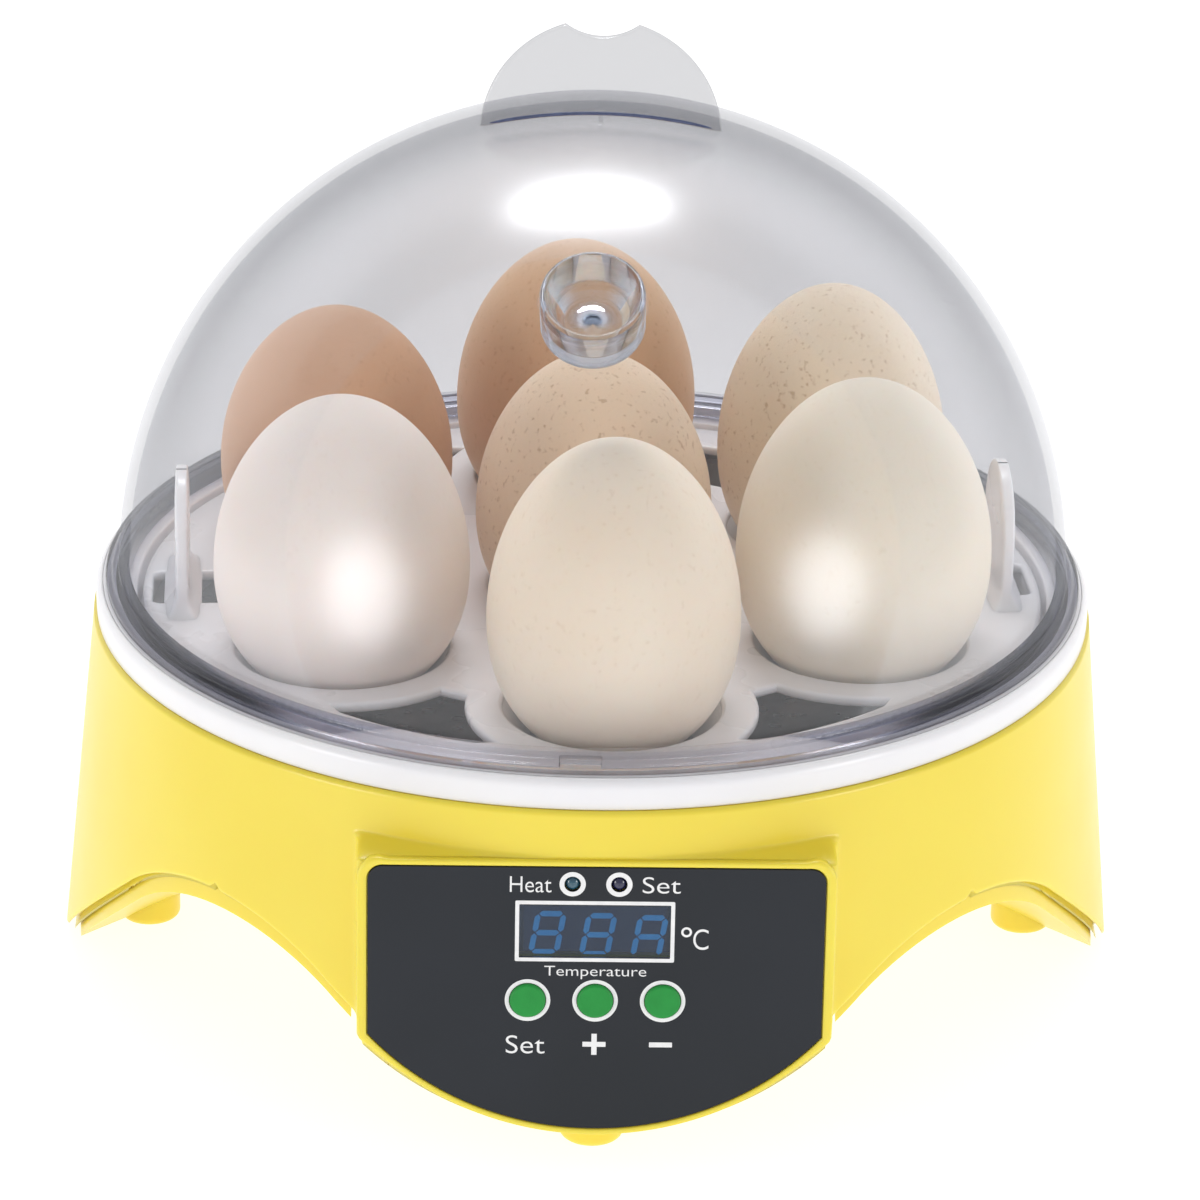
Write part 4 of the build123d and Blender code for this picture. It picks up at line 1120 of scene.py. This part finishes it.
def legend(text, box):
    # generic lettering, printed on the film; it becomes a mesh, is sized to its box and then laid on the
    # panel
    curve = bpy.data.curves.new("legend", "FONT")
    curve.body = text
    curve.extrude = face["ink"] / 2 * mm
    curve.offset = -0.006
    curve.resolution_u = 6
    source = bpy.data.objects.new("legendText", curve)
    bpy.context.collection.objects.link(source)
    bpy.context.view_layer.update()
    mesh = evaluated(source)
    bpy.data.objects.remove(source)
    piece = bpy.data.objects.new("legend", mesh)
    bpy.context.collection.objects.link(piece)

    def fitted(points):
        left, right, bottom, top = box
        low, high = points.min(0), points.max(0)
        scale = np.array([(right - left) / (high[0] - low[0]), (top - bottom) / (high[1] - low[1]),
                          1000]) * mm
        start = np.array([left, bottom, -0.17 - face["ink"] / 2]) * mm
        return placedOnPanel((points - np.array([low[0], low[1], 0])) * scale + start)
    return movePoints(piece, fitted)


def signs():
    # plus, minus and the degree ring
    long, wide, corner = face["sign"], face["stroke"], 0.12
    plusX, plusY = face["plus"]
    a, b = long / 2, wide / 2
    cross = [(-b, -a), (b, -a), (b, -b), (a, -b), (a, b), (b, b), (b, a), (-b, a), (-b, b), (-a, b),
             (-a, -b), (-b, -b)]
    plus = [(plusX + x, plusY + y) for x, y in cross]
    outlines = [[plus], [box2d(long, wide, face["minus"], corner)],
                [circle(0.96, face["degree"], 32), circle(0.55, face["degree"], 32)]]
    return [panelPiece("sign", lines, face["ink"], -0.17, 0.01) for lines in outlines]


def digitBars():
    # three figures of seven hexagonal bars each, leaning, and set a little crooked in their window
    digits = face["digits"]
    x, y = digits["size"][0] / 2 - digits["bar"] / 2, digits["size"][1] / 2 - digits["bar"] / 2
    places = [(0, y, 0), (0, 0, 0), (0, -y, 0), (x, y / 2, 1), (x, -y / 2, 1), (-x, y / 2, 1),
              (-x, -y / 2, 1)]
    width, height = face["glass"]
    limit = face["display"][1] - height / 2 + 0.35
    pieces = []
    for column, level in digits["middles"]:
        for across, up, upright in places:
            half = (y if upright else 2 * x) / 2 - 0.18
            side = digits["bar"] / 2
            bar = np.array([(-half, 0), (-half + side, -side), (half - side, -side), (half, 0),
                            (half - side, side),
                            (-half + side, side)])
            bar = bar[:, ::-1] * np.array([1, -1]) if upright else bar
            bar = bar + np.array([across, up])
            bar[:, 0] += bar[:, 1] * digits["slant"]
            bar += np.array([column, level])
            bar[:, 1] = np.maximum(bar[:, 1], limit)
            if np.ptp(bar[:, 1]) > 0.3:
                pieces.append(panelPiece("bar", [bar], digits["deep"], digits["front"], 0.03))
    return joined("digitBars", pieces)


finishPiece(panelFace(), materials["film"], "base", "panel_film", "panel_overlay")
printed = joined("panelPrint", inkRings() + signs() + [legend(*words) for words in face["words"]])
finishPiece(printed, materials["ink"], "base", "panel_film")
finishPiece(digitBars(), materials["bars"], "base", slots["display_segments"], "display_segments")
print("stage: panel")


# CAD nodes that keep their shape

finishes = {
    "yellow": ["bottom_cover", "foot_front", "foot_right", "foot_rear", "foot_left"],
    "plate": ["heater_plate"],
    "orange": ["heater_mat"],
    "steel": ["cover_screws", "heater_screws", "fan_screws", "board_screws", "power_board_screws",
              "temp_probe"],
    "rubber": ["probe_grommet"],
    "black": ["fan_frame", "fan_rotor", "tact_switches", "mains_inlet"],
    "epoxy": ["thermal_cutout", "capacitor", "heater_switch"],
    "tape": ["transformer"],
    "board": ["control_board", "power_board"],
    "module": ["display_module"],
    "window": ["display_window"],
    "teal": ["led_work"],
    "navy": ["led_set"],
    "brass": ["inlet_pins"],
    "green": ["button_set", "button_plus", "button_minus"],
}
for key, names in finishes.items():
    for name in names:
        mesh = frame["nodes"][name].data
        count = len(mesh.materials)
        for index in range(count):
            mesh.materials[index] = materials[key]
        if not count:
            mesh.materials.append(materials[key])
print("stage: CAD nodes have their finishes")


# floor, light and camera

def studioFloor():
    # a pale sweep: flat floor that curves up behind
    x = np.linspace(-6, 6, 9)[:, None]
    y = np.concatenate([np.linspace(-6, 0.9, 12), 0.9 + 0.9 * np.sin(np.linspace(0, pi / 2, 14)[1:]),
                        [1.8, 1.8]])
    z = np.concatenate([np.zeros(12), 0.9 - 0.9 * np.cos(np.linspace(0, pi / 2, 14)[1:]), [1.8, 2.8]])
    points = np.stack([x + 0 * y[None, :], y[None, :] + 0 * x, z[None, :] + 0 * x], -1)
    piece = meshObject("studioFloor", points, gridFaces(9, len(y)))
    material, tree, coords = startMaterial("palePaper")
    fibre = addNode(tree, "ShaderNodeTexNoise", {"Vector": coords, "Scale": 400.0, "Detail": 3.0})
    base = addNode(tree, "ShaderNodeValToRGB", {"Fac": fibre.outputs["Fac"]},
                   stops=[(0.3, toLinear("A8A8A8")), (0.7, toLinear("A4A4A4"))])
    shader = addNode(tree, "ShaderNodeBsdfPrincipled", {
        "Base Color": base.outputs["Color"], "Roughness": 0.9, "Specular IOR Level": 0.1,
        "Emission Color": (1, 1, 1, 1), "Emission Strength": 0.84})
    endMaterial(tree, shader.outputs["BSDF"])
    piece.data.materials.append(material)
    piece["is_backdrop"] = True
    return piece


def softbox(name, place, toward, size, power):
    light = bpy.data.lights.new(name, "AREA")
    light.shape = "ELLIPSE"
    light.size, light.size_y = size
    light.energy = power
    lamp = bpy.data.objects.new(name, light)
    bpy.context.collection.objects.link(lamp)
    lamp.location = place
    lamp.rotation_euler = (Vector(toward) - Vector(place)).to_track_quat("-Z", "Y").to_euler()
    return lamp


studioFloor()
world = bpy.data.worlds.new("studio")
world.use_nodes = True
world.node_tree.nodes["Background"].inputs["Color"].default_value = (1, 1, 1, 1)
world.node_tree.nodes["Background"].inputs["Strength"].default_value = 0.52
bpy.context.scene.world = world
aim = (0, 0, 0.08)
lamps = {
    "overhead": ((-0.02, 0.47, 1.0), (0.46, 0.20), 3.0),
    "leftBox": ((-0.95, -0.66, 0.22), (0.42, 0.44), 3.0),
    "rightBox": ((0.95, -0.66, 0.26), (0.42, 0.44), 3.0),
}
for name, (place, size, power) in lamps.items():
    softbox(name, place, aim, size, power)

view = {"sensor": 36.0, "lens": 148.572, "shift": (0.00618333, -0.030275), "distance": 0.950,
        "elevation": 0.398746, "roll": 0.018718, "yaw": 0.019138, "target": 0.076}


def aimCamera():
    # looks down at the dome's centre; a small shift sets that centre a little below the frame's middle
    camera = bpy.data.cameras.new("camera")
    camera.sensor_width = view["sensor"]
    camera.lens = view["lens"]
    camera.shift_x, camera.shift_y = view["shift"]
    camera.clip_start, camera.clip_end = 0.05, 20
    e = view["elevation"]
    turn = Matrix.Rotation(-view["yaw"], 4, "Z")
    back = turn @ Vector((0, -cos(e), sin(e)))
    place = Vector((0, 0, view["target"])) + back * view["distance"]
    aim = (-back).to_track_quat("-Z", "Y").to_matrix().to_4x4()
    shooter = bpy.data.objects.new("camera", camera)
    bpy.context.collection.objects.link(shooter)
    shooter.matrix_world = Matrix.Translation(place) @ aim @ Matrix.Rotation(view["roll"], 4, "Z")
    bpy.context.scene.camera = shooter


aimCamera()
bpy.context.scene.view_settings.view_transform = "Standard"
bpy.context.scene.cycles.max_bounces = 16
bpy.context.scene.cycles.transparent_max_bounces = 24
bpy.context.scene.cycles.transmission_bounces = 12
print("stage: floor, light and camera")

size = {"cad": [list(corner) for corner in cadBounds], "visual": [list(corner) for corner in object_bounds()]}
print("size", size)
